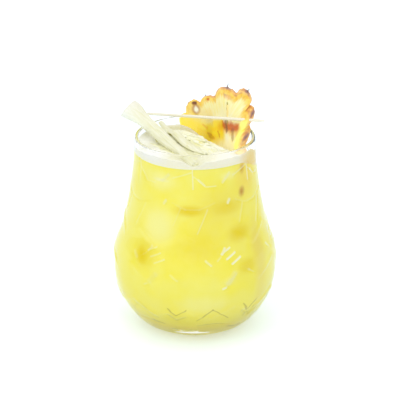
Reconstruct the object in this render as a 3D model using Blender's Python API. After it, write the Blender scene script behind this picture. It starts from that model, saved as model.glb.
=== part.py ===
"""A pineapple cooler: a cloudy yellow drink topped with froth and crushed ice, in a moulded glass tumbler,
with a slice of pineapple astride the rim, a pale stalk laid across the top and a thin pick through the slice.

Metres, +Z up. The origin is the middle of the glass's foot, the drinker is on the -Y side and +X is on
their right.
"""

import math
import random

import bmesh
import bpy
from mathutils import Matrix, Vector

MM = 0.001
GAP = 0.3 * MM  # between pieces that touch

# The tumbler: a narrow neck over a wide round belly.
GLASS_HEIGHT = 122 * MM
RIM_RADIUS = 36.6 * MM
RIM_WALL = 2.2 * MM
BELLY_RADIUS = 50.0 * MM
NECK_HEIGHT = 88 * MM  # above it the wall is nearly straight
FOOT_RADIUS = 24 * MM
FOOT_WALL = 4.2 * MM
FLOOR_HEIGHT = 9 * MM
FLOOR_RADIUS = 15 * MM
FLOOR_ROUNDING = 14 * MM
TURNED_STEPS = 54

# Height and radius along the outside, as shares of the glass's height and the belly's radius.
OUTLINE = (
    (0.000, 0.480),
    (0.033, 0.672),
    (0.070, 0.772),
    (0.127, 0.870),
    (0.197, 0.952),
    (0.270, 0.992),
    (0.336, 1.000),
    (0.434, 0.982),
    (0.545, 0.886),
    (0.656, 0.826),
    (0.754, 0.786),
    (0.861, 0.752),
    (1.000, 0.732),
)

# Moulded zigzag ridges round the outside.
ZIGZAGS = 9
ZIGZAG_RISE = 4 * MM
RIDGE_HEIGHTS = (25 * MM, 47 * MM, 69 * MM)
RIDGE_HALF_WIDTH = 3 * MM
RIDGE_RELIEF = 0.8 * MM
PLAIN_HEIGHTS = (1.5, 5, 9, 14, 36, 58, 82, 92, 105, 116)  # rings between the ridges, in mm

# The drink and what floats on it, as depths below the rim.
DRINK_DEPTH = 8.7 * MM
FROTH_DEPTH = 4.5 * MM
FROTH_WIDTH = 7.5 * MM
FROTH_WAVE = 1.0 * MM
FROTH_RIPPLE = 0.5 * MM
LEAST_LAYER = 1.0 * MM  # of froth or ice over the drink
ICE_RINGS, FROTH_RINGS = 6, 3

# The ice is heaped along a crest and has slumped behind it, where the slice stands.
CREST_START = Vector((-6 * MM, 7 * MM))
CREST_END = Vector((20.4 * MM, -15.6 * MM))
CREST_RISE_START = 5.5 * MM
CREST_RISE_END = 0.3 * MM
CREST_WIDTH = 7 * MM
CREST_LEAD_IN = 14 * MM  # the crest rises over this length before its start
SLUMP_SLOPE = 0.49
SLUMP_ROUNDING = 3 * MM
SLUMP_FADE = (-24 * MM, -4 * MM)  # where it starts, along the crest
ICE_PIECES = 30
ICE_SIZE = 4.2 * MM
ICE_SIZES = (0.70, 1.15)  # as shares of it
ICE_ROUGHNESS = 0.16
ICE_SUNK = 0.22
ICE_TILT = 0.35  # radians
ICE_SEED = 11

# The slice: a half wheel of pineapple, slit up from its core to sit astride the rim.
SLICE_RADIUS = 36.6 * MM
SLICE_THICKNESS = 6.4 * MM
RIND_THICKNESS = 3.2 * MM
CORE_DEPTH = 19 * MM
SLIT_TOP = 29.5 * MM
SLIT_WIDTH = 1.2 * MM
SLIT_DIRECTION = math.radians(56)  # where on the rim the slit sits, from +X towards +Y
CUT_LEFT = math.radians(172)
CUT_RIGHT = math.radians(-23)
SLICE_STEPS = 56
VALLEY_RADIUS = 32.8 * MM  # the rind between its eyes
# Each eye of the rind: the angle of its middle and its half width, in degrees, and its reach from the core, in mm.
EYES = (
    (-14, 12, 37.0),
    (7, 12, 37.6),
    (29, 11, 37.8),
    (49, 12, 39.4),
    (68, 11, 43.2),
    (90, 16, 38.9),
    (121, 9, 34.4),
    (146, 13, 38.2),
    (167, 11, 36.8),
)
EYE_LEAN = math.radians(4)  # the eyes stand slanting across the slice's thickness
HEADING_TOP = math.radians(42)
HEADING_LOW = math.radians(76)
TWIST_FROM, TWIST_TO = 0.97, 0.20  # shares of the radius above the core
TWIST_WIDTH = 5 * MM  # across the slit

# The stalk: flared and cut square outside the rim, tapering to the far wall.
STALK_OVER_RIM = Vector((-32.1 * MM, 15.1 * MM, GLASS_HEIGHT + 4.9 * MM))
STALK_INNER_END = Vector((0, -31.4 * MM, GLASS_HEIGHT - 8.0 * MM))
STALK_OVERHANG = 0.29  # outside the rim, as a share of the length inside it
STALK_BOW = 1.6 * MM  # the outer end droops
STALK_DENT = 5 * MM  # how far from its axis the froth and ice are pressed down
STALK_RADII = ((0.0, 6.4 * MM), (0.10, 6.0 * MM), (0.23, 4.3 * MM), (0.55, 3.5 * MM), (1.0, 2.4 * MM))
STALK_POINTS = 12

# The pick lies on the back of the rim and runs through the slice's inner flap.
PICK_RADIUS = 0.9 * MM
PICK_OVER_RIM = Vector((-14.4 * MM, 32.4 * MM, GLASS_HEIGHT + PICK_RADIUS + 1.4 * GAP))
PICK_IN_SLICE = Vector((33.0 * MM, 5.0 * MM, GLASS_HEIGHT + 7.8 * MM))
PICK_ROUNDING = 0.35 * MM
ROD_SIDES = 12
PICK_BEFORE_RIM = 18 * MM
PICK_PAST_SLICE = 11 * MM


def mix(a, b, share):
    return a + (b - a) * share


def smoothstep(t):
    t = min(max(t, 0.0), 1.0)
    return t * t * (3 - 2 * t)


def through(knots, x):
    """A smooth curve through the knots (x, y), with its slope at each knot taken from the neighbours."""
    x = min(max(x, knots[0][0]), knots[-1][0])
    i = next(i for i in range(len(knots) - 1) if x <= knots[i + 1][0])
    (x0, y0), (x1, y1) = knots[i], knots[i + 1]
    before = knots[max(i - 1, 0)]
    after = knots[min(i + 2, len(knots) - 1)]
    step = x1 - x0
    slope0 = (y1 - before[1]) / (x1 - before[0]) * step
    slope1 = (after[1] - y0) / (after[0] - x0) * step
    t = (x - x0) / step
    return (
        y0 * (2 * t**3 - 3 * t**2 + 1)
        + slope0 * (t**3 - 2 * t**2 + t)
        + y1 * (3 * t**2 - 2 * t**3)
        + slope1 * (t**3 - t**2)
    )


# Glass


def outer_radius(z):
    return BELLY_RADIUS * through(OUTLINE, z / GLASS_HEIGHT)


def inner_radius(z):
    wall = mix(FOOT_WALL, RIM_WALL, smoothstep(z / GLASS_HEIGHT * 1.4))
    radius = outer_radius(z) - wall
    rounding_top = FLOOR_HEIGHT + FLOOR_ROUNDING
    if z < rounding_top:
        drop = (rounding_top - z) / FLOOR_ROUNDING
        radius = mix(FLOOR_RADIUS, radius, math.sqrt(max(0.0, 1 - drop**2)))
    return radius


def zigzag(angle):
    """From -1 to 1 and back, ZIGZAGS times round the glass."""
    turn = angle / math.tau * ZIGZAGS
    return 4 * abs(turn - math.floor(turn + 0.5)) - 1


def inside_heights():
    """Heights of the rings up the inside, close together round the floor's edge."""
    top = FLOOR_HEIGHT + FLOOR_ROUNDING
    bend_steps, wall_steps = 6, 9
    round_floor = [top - FLOOR_ROUNDING * math.cos(math.pi / 2 * i / bend_steps) for i in range(bend_steps)]
    return round_floor + [mix(top, NECK_HEIGHT, i / wall_steps) for i in range(wall_steps + 1)]


def lathe(bm, steps):
    """Spins the profile in bm round +Z, and closes the poles."""
    bmesh.ops.spin(
        bm,
        geom=bm.verts[:] + bm.edges[:],
        axis=(0, 0, 1),
        cent=(0, 0, 0),
        angle=math.tau,
        steps=steps,
        use_merge=True,
    )
    bmesh.ops.remove_doubles(bm, verts=bm.verts, dist=1e-6)
    bmesh.ops.recalc_face_normals(bm, faces=bm.faces)


def add_profile(bm, points, closed=False):
    verts = [bm.verts.new((r, 0, z)) for r, z in points]
    for a, b in zip(verts, verts[1:]):
        bm.edges.new((a, b))
    if closed:
        bm.edges.new((verts[-1], verts[0]))
    return verts


def glass_rings():
    """Each outer ring as its height, how far it zigzags up and down, and how far it stands out."""
    rings = [(z * MM, 0.0, 0.0) for z in PLAIN_HEIGHTS]
    for z in RIDGE_HEIGHTS:
        rings.append((z - RIDGE_HALF_WIDTH, ZIGZAG_RISE, 0.0))
        rings.append((z, ZIGZAG_RISE, RIDGE_RELIEF))
        rings.append((z + RIDGE_HALF_WIDTH, ZIGZAG_RISE, 0.0))
    return sorted(rings)


def make_glass():
    bm = bmesh.new()
    rise = bm.verts.layers.float.new("rise")
    relief = bm.verts.layers.float.new("relief")
    rings = glass_rings()
    rim_middle = RIM_RADIUS - RIM_WALL / 2
    rim_edge = 0.35 * RIM_WALL
    outside = [(0, 0), (FOOT_RADIUS, 0)] + [(outer_radius(z), z) for z, _, _ in rings]
    rim = [
        (RIM_RADIUS, GLASS_HEIGHT - rim_edge),
        (rim_middle + rim_edge, GLASS_HEIGHT - 0.1 * RIM_WALL),
        (rim_middle, GLASS_HEIGHT),
        (rim_middle - rim_edge, GLASS_HEIGHT - 0.1 * RIM_WALL),
    ]
    inside_top = [GLASS_HEIGHT - rim_edge, mix(NECK_HEIGHT, GLASS_HEIGHT, 0.5)]
    inside = [(inner_radius(z), z) for z in inside_top + inside_heights()[::-1]]
    verts = add_profile(bm, outside + rim + inside + [(0, FLOOR_HEIGHT)])
    for vert, ring in zip(verts[2:], rings):
        vert[rise], vert[relief] = ring[1], ring[2]
    lathe(bm, TURNED_STEPS)
    for vert in bm.verts:
        if vert[rise]:
            angle = math.atan2(vert.co.y, vert.co.x)
            z = vert.co.z + vert[rise] * zigzag(angle)
            radius = outer_radius(z) + vert[relief]
            vert.co = (radius * math.cos(angle), radius * math.sin(angle), z)
    return add_object("glass", bm)


# Drink, froth and ice


def crest_place(x, y):
    """How far along the crest a point lies, how far behind it, and the crest's length."""
    crest = CREST_END - CREST_START
    along = crest.normalized()
    behind = Vector((-along.y, along.x))
    offset = Vector((x, y)) - CREST_START
    return offset.dot(along), offset.dot(behind), crest.length


def slump(x, y):
    """How far the surface has sunk behind the crest."""
    along, behind, _ = crest_place(x, y)
    fade = smoothstep((along - SLUMP_FADE[0]) / (SLUMP_FADE[1] - SLUMP_FADE[0]))
    depth = (behind + math.hypot(behind, SLUMP_ROUNDING)) / 2
    return SLUMP_SLOPE * depth * fade


def ridge(x, y):
    """How far the heaped ice stands above the froth."""
    along, behind, length = crest_place(x, y)
    rise = mix(CREST_RISE_START, CREST_RISE_END, smoothstep(along / length))
    start = smoothstep(along / CREST_LEAD_IN + 1)
    return rise * start * math.exp(-((behind / CREST_WIDTH) ** 2))


def drink_top(x, y):
    return GLASS_HEIGHT - DRINK_DEPTH - slump(x, y)


def pressed_down(x, y, height):
    """The surface beside the stalk sinks to the stalk's axis, so that it lies half in it."""
    start, end = STALK_OVER_RIM.xy, STALK_INNER_END.xy
    share = (Vector((x, y)) - start).dot(end - start) / (end - start).length_squared
    share = min(max(share, 0.0), 1.0)
    away = (Vector((x, y)) - start.lerp(end, share)).length
    floor = max(mix(STALK_OVER_RIM.z, STALK_INNER_END.z, share), drink_top(x, y) + LEAST_LAYER)
    return mix(height, min(height, floor), math.exp(-((away / STALK_DENT) ** 4)))


def froth_top(x, y):
    ripple = FROTH_RIPPLE * math.sin(5 * math.atan2(y, x))
    return pressed_down(x, y, GLASS_HEIGHT - FROTH_DEPTH - slump(x, y) + ripple)


def ice_top(x, y):
    return pressed_down(x, y, GLASS_HEIGHT - FROTH_DEPTH - slump(x, y) + ridge(x, y))


def froth_edge(angle):
    """Radius where the froth meets the ice."""
    wave = FROTH_WAVE * (math.sin(3 * angle + 1) + 0.6 * math.sin(7 * angle))
    return inner_radius(GLASS_HEIGHT - DRINK_DEPTH) - FROTH_WIDTH + wave


def wall_meets(surface, angle):
    """Radius at which a surface reaches the wall, a gap short of it."""
    radius = RIM_RADIUS - RIM_WALL
    for _ in range(4):
        radius = inner_radius(surface(radius * math.cos(angle), radius * math.sin(angle))) - GAP
    return radius


def cap_radius(ring, angle, wall):
    """The rings of the drink's surface lie under those of the ice and the froth."""
    edge = froth_edge(angle)
    if ring <= ICE_RINGS:
        return edge * ring / ICE_RINGS
    return mix(edge, wall, (ring - ICE_RINGS) / FROTH_RINGS)


def make_drink():
    """A body as wide as the glass inside, up to the slumped surface."""
    neck_rings, cap_rings = 4, ICE_RINGS + FROTH_RINGS
    level = GLASS_HEIGHT - DRINK_DEPTH
    neck = [mix(NECK_HEIGHT, level, i / neck_rings) for i in range(1, neck_rings + 1)]
    wall = [(inner_radius(z) - GAP, z + GAP) for z in inside_heights()]
    wall += [(inner_radius(z) - GAP, z) for z in neck]
    top_radius = wall[-1][0]
    cap = [(top_radius * i / cap_rings, level) for i in range(cap_rings - 1, -1, -1)]
    bm = bmesh.new()
    add_profile(bm, [(0, FLOOR_HEIGHT + GAP)] + wall + cap)
    lathe(bm, TURNED_STEPS)
    for vert in bm.verts:
        if vert.co.z > NECK_HEIGHT + 2 * GAP:
            angle = math.atan2(vert.co.y, vert.co.x)
            side = Vector((math.cos(angle), math.sin(angle)))
            share = vert.co.xy.length / (inner_radius(vert.co.z) - GAP)
            edge = wall_meets(drink_top, angle)
            if share < 1 - 1e-4:
                radius = cap_radius(round(share * cap_rings), angle, edge)
                height = drink_top(*side * radius)
            else:
                rise = (vert.co.z - NECK_HEIGHT) / (level - NECK_HEIGHT)
                height = mix(NECK_HEIGHT, drink_top(*side * edge), rise)
                radius = inner_radius(height) - GAP
            vert.co = (*side * radius, height)
    return add_object("drink", bm)


def make_layer(name, inner, outer, bottom, top, rings):
    """A ring or disc whose edges are radii at each angle, between two uneven surfaces."""
    bm = bmesh.new()
    verts = add_profile(
        bm,
        [(1 + i, 0) for i in range(rings + 1)] + [(1 + i, 1) for i in range(rings, -1, -1)],
        closed=inner is not None,
    )
    if inner is None:
        for vert in (verts[0], verts[-1]):
            vert.co.x = 0
    lathe(bm, TURNED_STEPS)
    for vert in bm.verts:
        angle = math.atan2(vert.co.y, vert.co.x)
        start = inner(angle) if inner else 0
        share = max(0.0, (Vector(vert.co.xy).length - 1) / rings)
        upper = vert.co.z > 0.5
        radius = mix(start, outer(angle), share)
        x, y = radius * math.cos(angle), radius * math.sin(angle)
        vert.co = (x, y, top(x, y) if upper else bottom(x, y))
    bmesh.ops.recalc_face_normals(bm, faces=bm.faces)
    return add_object(name, bm)


def make_froth():
    return make_layer(
        "froth",
        inner=lambda angle: froth_edge(angle) + GAP / 2,
        outer=lambda angle: wall_meets(froth_top, angle),
        bottom=lambda x, y: drink_top(x, y) + 1.3 * GAP,
        top=froth_top,
        rings=FROTH_RINGS,
    )


def ice_piece(size, rng):
    """A broken lump, flatter than it is wide."""
    bm = bmesh.new()
    bmesh.ops.create_icosphere(bm, subdivisions=1, radius=size)
    stretch = Matrix.Diagonal((rng.uniform(0.9, 1.25), rng.uniform(0.75, 1.0), rng.uniform(0.55, 0.75)))
    spun = Matrix.Rotation(rng.uniform(0, math.tau), 3, "Z")
    tilted = Matrix.Rotation(rng.uniform(-ICE_TILT, ICE_TILT), 3, "X")
    for vert in bm.verts:
        jitter = Vector((rng.uniform(-1, 1), rng.uniform(-1, 1), rng.uniform(-1, 1)))
        vert.co = spun @ tilted @ stretch @ (vert.co + ICE_ROUGHNESS * size * jitter)
    return bm


def make_ice():
    """The heap's body, with the pieces that show fused on."""
    body = make_layer(
        "crushed_ice",
        inner=None,
        outer=lambda angle: froth_edge(angle) - GAP / 2,
        bottom=lambda x, y: drink_top(x, y) + 1.3 * GAP,
        top=ice_top,
        rings=ICE_RINGS,
    )
    rng = random.Random(ICE_SEED)
    pieces = bpy.data.collections.new("ice pieces")
    bpy.context.scene.collection.children.link(pieces)
    golden_angle = math.pi * (3 - math.sqrt(5))
    for i in range(ICE_PIECES):
        angle = i * golden_angle
        reach = froth_edge(angle) - 1.3 * ICE_SIZE
        radius = reach * math.sqrt((i + 0.5) / ICE_PIECES)
        x, y = radius * math.cos(angle), radius * math.sin(angle)
        size = ICE_SIZE * rng.uniform(*ICE_SIZES)
        bm = ice_piece(size, rng)
        lowest = min(vert.co.z for vert in bm.verts)
        height = max(ice_top(x, y) - ICE_SUNK * size, drink_top(x, y) + 3 * GAP - lowest)
        bmesh.ops.translate(bm, vec=(x, y, height), verts=bm.verts)
        add_object(f"ice_piece_{i}", bm, pieces)
    fuse(body, pieces)
    return body


# Pineapple


def slit_place():
    """Plan position of the slit, over the middle of the rim's wall."""
    radius = RIM_RADIUS - RIM_WALL / 2
    return radius * math.cos(SLIT_DIRECTION), radius * math.sin(SLIT_DIRECTION)


def heading(across, above):
    """Plan direction of the slice, turned from +X to -Y. Below its top the inner flap twists to the drinker."""
    drop = (TWIST_FROM - above / SLICE_RADIUS) / (TWIST_FROM - TWIST_TO)
    share = 1 - (1 - min(max(drop, 0.0), 1.0)) ** 2
    side = smoothstep(across / TWIST_WIDTH + 0.5)
    return mix(HEADING_TOP, HEADING_LOW, share * side)


def bend(across, above, outwards):
    """From the flat slice to its place on the rim: across it, up from its core, and out of its face."""
    turn = heading(across, above)
    x0, y0 = slit_place()
    x = x0 + across * math.cos(turn) - outwards * math.sin(turn)
    y = y0 - across * math.sin(turn) - outwards * math.cos(turn)
    return Vector((x, y, GLASS_HEIGHT - CORE_DEPTH + above))


def rind_radius(angle, depth):
    """Out to the rind, which bulges at each eye. The depth is -1 at the slice's back and 1 at its front."""
    radius = VALLEY_RADIUS
    for middle, half_width, reach in EYES:
        offset = (angle - math.radians(middle) + EYE_LEAN * depth) / math.radians(half_width)
        if abs(offset) < 1:
            radius = max(radius, mix(VALLEY_RADIUS, reach * MM, math.sqrt(1 - offset**2)))
    return radius


def angle_from_right(x, y):
    """The angle of a point about the core, from the cut on the right to the one on the left."""
    angle = math.atan2(y, x)
    return angle if angle > CUT_RIGHT - math.radians(5) else angle + math.tau


def cut_faces(x, y):
    """Which way the straight cut faces at a point on it, and no way between its two sides."""
    if math.hypot(x, y) < GAP:
        return Vector((0, -1))
    angle = angle_from_right(x, y)
    if abs(angle - CUT_RIGHT) < 1e-4:
        return Vector((math.sin(CUT_RIGHT), -math.cos(CUT_RIGHT)))
    if abs(angle - CUT_LEFT) < 1e-4:
        return Vector((-math.sin(CUT_LEFT), math.cos(CUT_LEFT)))
    return Vector((0, 0))


def slice_mesh(grow=0.0):
    """The slice, or the same shape grown all round, which cuts its place out of what it stands in."""
    half = SLICE_THICKNESS / 2 + grow
    edge = SLICE_RADIUS + grow
    face = [(share * (edge - RIND_THICKNESS), half) for share in (0, 0.3, 0.6, 0.85, 1)]
    round_edge = [(edge - 0.28 * RIND_THICKNESS, 0.92 * half), (edge, 0.5 * half)]
    front = face + round_edge
    middle = [(edge + 0.1 * RIND_THICKNESS, 0.0)]
    back = [(r, -n) for r, n in reversed(front)]
    bm = bmesh.new()
    start = Matrix.Rotation(CUT_RIGHT, 3, "Z")
    verts = [bm.verts.new(start @ Vector((r, 0, n))) for r, n in front + middle + back]
    profile = bm.faces.new(verts)
    bmesh.ops.spin(
        bm,
        geom=[profile] + profile.edges[:] + profile.verts[:],
        axis=(0, 0, 1),
        cent=(0, 0, 0),
        angle=CUT_LEFT - CUT_RIGHT,
        steps=SLICE_STEPS,
    )
    bmesh.ops.remove_doubles(bm, verts=bm.verts, dist=1e-6)
    bmesh.ops.dissolve_degenerate(bm, edges=bm.edges, dist=1e-6)
    for vert in bm.verts:
        flat = Vector(vert.co.xy)
        share = smoothstep(2.5 * (flat.length / SLICE_RADIUS - 0.5))
        reach = rind_radius(angle_from_right(flat.x, flat.y), vert.co.z / half)
        flat = flat * mix(1, reach / SLICE_RADIUS, share) + grow * cut_faces(flat.x, flat.y)
        vert.co = bend(flat.x, flat.y, vert.co.z)
    bmesh.ops.triangulate(bm, faces=[face for face in bm.faces if len(face.verts) > 4])
    bmesh.ops.recalc_face_normals(bm, faces=bm.faces)
    return bm


def make_slice():
    slice_ = add_object("pineapple_slice", slice_mesh())
    cut(slice_, wall_cutter())
    cut(slice_, slit_cutter())
    cut(slice_, rod_cutter("pick hole", PICK_OVER_RIM, PICK_IN_SLICE, PICK_RADIUS + GAP))
    return slice_


def wall_cutter():
    """The glass's wall below the rim, grown by the gap on every side."""
    bm = bmesh.new()
    top, bottom = GLASS_HEIGHT + GAP, GLASS_HEIGHT - 1.4 * SLICE_RADIUS
    steps = 8
    heights = [mix(bottom, top, i / steps) for i in range(steps + 1)]
    outside = [(outer_radius(z) + RIDGE_RELIEF / 2 + GAP, z) for z in heights]
    inside = [(inner_radius(z) - GAP, z) for z in reversed(heights)]
    add_profile(bm, outside + inside, closed=True)
    lathe(bm, TURNED_STEPS)
    return add_cutter("wall", bm)


def slit_cutter():
    bm = bmesh.new()
    bmesh.ops.create_cube(bm, size=1)
    height = SLIT_TOP + 10 * MM
    bmesh.ops.scale(bm, vec=(SLIT_WIDTH, 4 * SLICE_THICKNESS, height), verts=bm.verts)
    turn = Matrix.Rotation(-mix(HEADING_TOP, HEADING_LOW, 0.4), 4, "Z")
    middle = bend(0, SLIT_TOP - height / 2, 0)
    bmesh.ops.transform(bm, matrix=Matrix.Translation(middle) @ turn, verts=bm.verts)
    return add_cutter("slit", bm)


# Stalk and pick


def stalk_points(grow=0.0):
    """Each point along the stalk as its place and radius, from the outer end in."""
    inside = STALK_INNER_END - STALK_OVER_RIM
    start = STALK_OVER_RIM - inside * STALK_OVERHANG
    direction = (STALK_INNER_END - start).normalized()
    rim_share = STALK_OVERHANG / (1 + STALK_OVERHANG)
    for i in range(STALK_POINTS):
        share = i / (STALK_POINTS - 1)
        place = start.lerp(STALK_INNER_END, share) + direction * grow * (2 * share - 1)
        place.z -= STALK_BOW * max(0.0, 1 - share / rim_share) ** 2
        yield place, through(STALK_RADII, share) + grow


def stalk_curve(name, grow=0.0):
    curve = bpy.data.curves.new(name, "CURVE")
    curve.dimensions = "3D"
    curve.bevel_depth = 1
    curve.bevel_resolution = 3
    curve.use_fill_caps = True
    points = list(stalk_points(grow))
    spline = curve.splines.new("POLY")
    spline.points.add(len(points) - 1)
    for point, (place, radius) in zip(spline.points, points):
        point.co = (*place, 1)
        point.radius = radius
    return curve


def make_stalk():
    stalk = bpy.data.objects.new("stalk", stalk_curve("stalk"))
    PARTS.objects.link(stalk)
    return stalk


def stalk_cutter():
    guide = bpy.data.objects.new("stalk guide", stalk_curve("stalk guide", GAP))
    bpy.context.scene.collection.objects.link(guide)
    mesh = bpy.data.meshes.new_from_object(guide.evaluated_get(bpy.context.evaluated_depsgraph_get()))
    bpy.data.objects.remove(guide)
    bm = bmesh.new()
    bm.from_mesh(mesh)
    bmesh.ops.remove_doubles(bm, verts=bm.verts, dist=1e-6)
    bmesh.ops.recalc_face_normals(bm, faces=bm.faces)
    bpy.data.meshes.remove(mesh)
    return add_cutter("stalk place", bm)


def rod_mesh(start, end, radius, sides):
    bm = bmesh.new()
    direction = end - start
    bmesh.ops.create_cone(
        bm, cap_ends=True, segments=sides, radius1=radius, radius2=radius, depth=direction.length
    )
    turn = direction.to_track_quat("Z", "Y").to_matrix().to_4x4()
    bmesh.ops.transform(bm, matrix=Matrix.Translation((start + end) / 2) @ turn, verts=bm.verts)
    return bm


def rod_cutter(name, start, end, radius):
    """A bore along the line from start to end, run on well past the end."""
    direction = (end - start).normalized()
    return add_cutter(name, rod_mesh(start, end + SLICE_RADIUS * direction, radius, ROD_SIDES))


def make_pick():
    direction = (PICK_IN_SLICE - PICK_OVER_RIM).normalized()
    start = PICK_OVER_RIM - PICK_BEFORE_RIM * direction
    end = PICK_IN_SLICE + PICK_PAST_SLICE * direction
    bm = rod_mesh(start, end, PICK_RADIUS, ROD_SIDES)
    ends = [edge for edge in bm.edges if any(len(face.verts) == ROD_SIDES for face in edge.link_faces)]
    bmesh.ops.bevel(
        bm, geom=ends, offset=PICK_ROUNDING, segments=2, profile=0.5, affect="EDGES", material=-1
    )
    return add_object("pick", bm)


# Objects, cuts and materials


def add_object(name, bm, collection=None):
    mesh = bpy.data.meshes.new(name)
    bm.to_mesh(mesh)
    bm.free()
    mesh.shade_smooth()
    mesh.set_sharp_from_angle(angle=math.radians(40))
    obj = bpy.data.objects.new(name, mesh)
    (collection or PARTS).objects.link(obj)
    return obj


def add_cutter(name, bm):
    obj = add_object(name, bm, CUTTERS)
    obj.hide_render = True
    obj.display_type = "WIRE"
    return obj


def apply_modifiers(obj):
    """Makes the evaluated mesh the object's own."""
    mesh = bpy.data.meshes.new_from_object(obj.evaluated_get(bpy.context.evaluated_depsgraph_get()))
    old = obj.data
    obj.modifiers.clear()
    obj.data = mesh
    bpy.data.meshes.remove(old)


def cut(obj, cutter):
    modifier = obj.modifiers.new(cutter.name, "BOOLEAN")
    modifier.object = cutter
    apply_modifiers(obj)


def fuse(obj, pieces):
    """Joins every piece in the collection to obj, and removes the pieces."""
    modifier = obj.modifiers.new("pieces", "BOOLEAN")
    modifier.operation = "UNION"
    modifier.operand_type = "COLLECTION"
    modifier.collection = pieces
    modifier.solver = "MANIFOLD"
    apply_modifiers(obj)
    for piece in pieces.objects[:]:
        bpy.data.objects.remove(piece)
    bpy.data.collections.remove(pieces)


def keep_largest(obj):
    """Drops the loose scraps that a cut leaves."""
    bm = bmesh.new()
    bm.from_mesh(obj.data)
    left = set(bm.verts)
    bodies = []
    while left:
        body, front = set(), {left.pop()}
        while front:
            vert = front.pop()
            body.add(vert)
            for edge in vert.link_edges:
                other = edge.other_vert(vert)
                if other in left:
                    left.remove(other)
                    front.add(other)
        bodies.append(body)
    bodies.sort(key=len)
    scraps = [vert for body in bodies[:-1] for vert in body]
    bmesh.ops.delete(bm, geom=scraps, context="VERTS")
    bm.to_mesh(obj.data)
    bm.free()


def finish(obj, colour, roughness, transmission=0.0):
    material = bpy.data.materials.new(obj.name)
    material.use_nodes = True
    shader = material.node_tree.nodes["Principled BSDF"]
    shader.inputs["Base Color"].default_value = (*colour, 1)
    shader.inputs["Roughness"].default_value = roughness
    shader.inputs["Metallic"].default_value = 0.0
    shader.inputs["Transmission Weight"].default_value = transmission
    obj.data.materials.clear()
    obj.data.materials.append(material)


def clear_scene():
    for obj in list(bpy.data.objects):
        bpy.data.objects.remove(obj)


def add_collection(name):
    collection = bpy.data.collections.new(name)
    bpy.context.scene.collection.children.link(collection)
    return collection


clear_scene()
PARTS = add_collection("pineapple cooler")
CUTTERS = add_collection("cutters")

glass = make_glass()
drink = make_drink()
froth = make_froth()
ice = make_ice()
pineapple = make_slice()
stalk = make_stalk()
pick = make_pick()

slice_place = add_cutter("slice place", slice_mesh(grow=GAP))
stalk_place = stalk_cutter()
for content in (drink, froth, ice):
    cut(content, slice_place)
    cut(content, stalk_place)
    keep_largest(content)
keep_largest(pineapple)

finish(glass, (0.95, 0.97, 0.96), 0.02, transmission=1.0)
finish(drink, (0.90, 0.78, 0.10), 0.30)
finish(froth, (0.95, 0.93, 0.80), 0.60)
finish(ice, (0.88, 0.87, 0.55), 0.25)
finish(pineapple, (0.93, 0.76, 0.25), 0.45)
finish(stalk, (0.86, 0.88, 0.66), 0.45)
finish(pick, (0.88, 0.89, 0.86), 0.15, transmission=0.6)
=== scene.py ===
# %% [markdown]
# # A pineapple cooler in its moulded glass
#
# This notebook dresses a measured model of a cold drink: a pear-shaped tumbler of moulded glass, cloudy
# juice, a band of froth, a heap of crushed ice, half a wheel of pineapple astride the rim, a pale stalk and a
# milky pick. The measured model is loaded first and never changed. Each plain solid in it is then replaced
# by a finer piece that keeps its form and its place.

import math
import random

import bmesh
import bpy
from mathutils import Matrix, Vector, noise
from mathutils.bvhtree import BVHTree


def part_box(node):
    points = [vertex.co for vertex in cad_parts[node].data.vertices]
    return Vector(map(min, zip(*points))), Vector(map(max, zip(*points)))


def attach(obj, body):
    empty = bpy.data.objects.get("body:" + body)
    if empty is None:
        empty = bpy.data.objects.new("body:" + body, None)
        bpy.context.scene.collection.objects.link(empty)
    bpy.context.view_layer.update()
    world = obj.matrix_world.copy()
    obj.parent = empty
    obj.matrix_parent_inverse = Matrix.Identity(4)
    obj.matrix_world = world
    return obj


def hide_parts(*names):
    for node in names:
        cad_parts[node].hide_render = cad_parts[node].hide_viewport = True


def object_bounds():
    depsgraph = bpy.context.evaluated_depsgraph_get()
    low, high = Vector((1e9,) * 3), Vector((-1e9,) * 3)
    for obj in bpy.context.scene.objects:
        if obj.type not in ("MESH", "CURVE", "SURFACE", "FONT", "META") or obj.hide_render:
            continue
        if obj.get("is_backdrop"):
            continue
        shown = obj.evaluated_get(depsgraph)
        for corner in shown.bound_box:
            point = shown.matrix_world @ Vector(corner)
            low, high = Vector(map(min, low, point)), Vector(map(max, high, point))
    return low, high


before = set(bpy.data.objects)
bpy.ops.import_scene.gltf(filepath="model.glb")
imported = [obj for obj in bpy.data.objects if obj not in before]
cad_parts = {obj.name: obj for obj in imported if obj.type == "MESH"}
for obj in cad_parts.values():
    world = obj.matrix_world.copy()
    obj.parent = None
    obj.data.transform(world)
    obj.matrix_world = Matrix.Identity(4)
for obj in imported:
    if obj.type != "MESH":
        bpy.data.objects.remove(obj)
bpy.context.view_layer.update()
MM = 0.001
print("solids:", ", ".join(sorted(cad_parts)))

# %% [markdown]
# ## The camera
#
# The glass is photographed with a long lens from a little above: the rim is a flat ellipse, and its height
# against its width gives the angle. The camera is worked out from its distance, that angle and the size of
# one picture element at the glass's axis.

# %% Camera
CAMERA_DISTANCE = 1.2
CAMERA_ELEVATION = math.radians(22.63)
PICTURE_WIDTH = 400  # pixels
PIXEL_SIZE = 0.617 * MM  # at the glass's axis
SENSOR_WIDTH = 36.0  # mm
AIMED_AT = Vector((3.1 * MM, 6.65 * MM, 76.9 * MM))


def put_in_scene(name, data):
    made = bpy.data.objects.new(name, data)
    bpy.context.scene.collection.objects.link(made)
    return made


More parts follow.
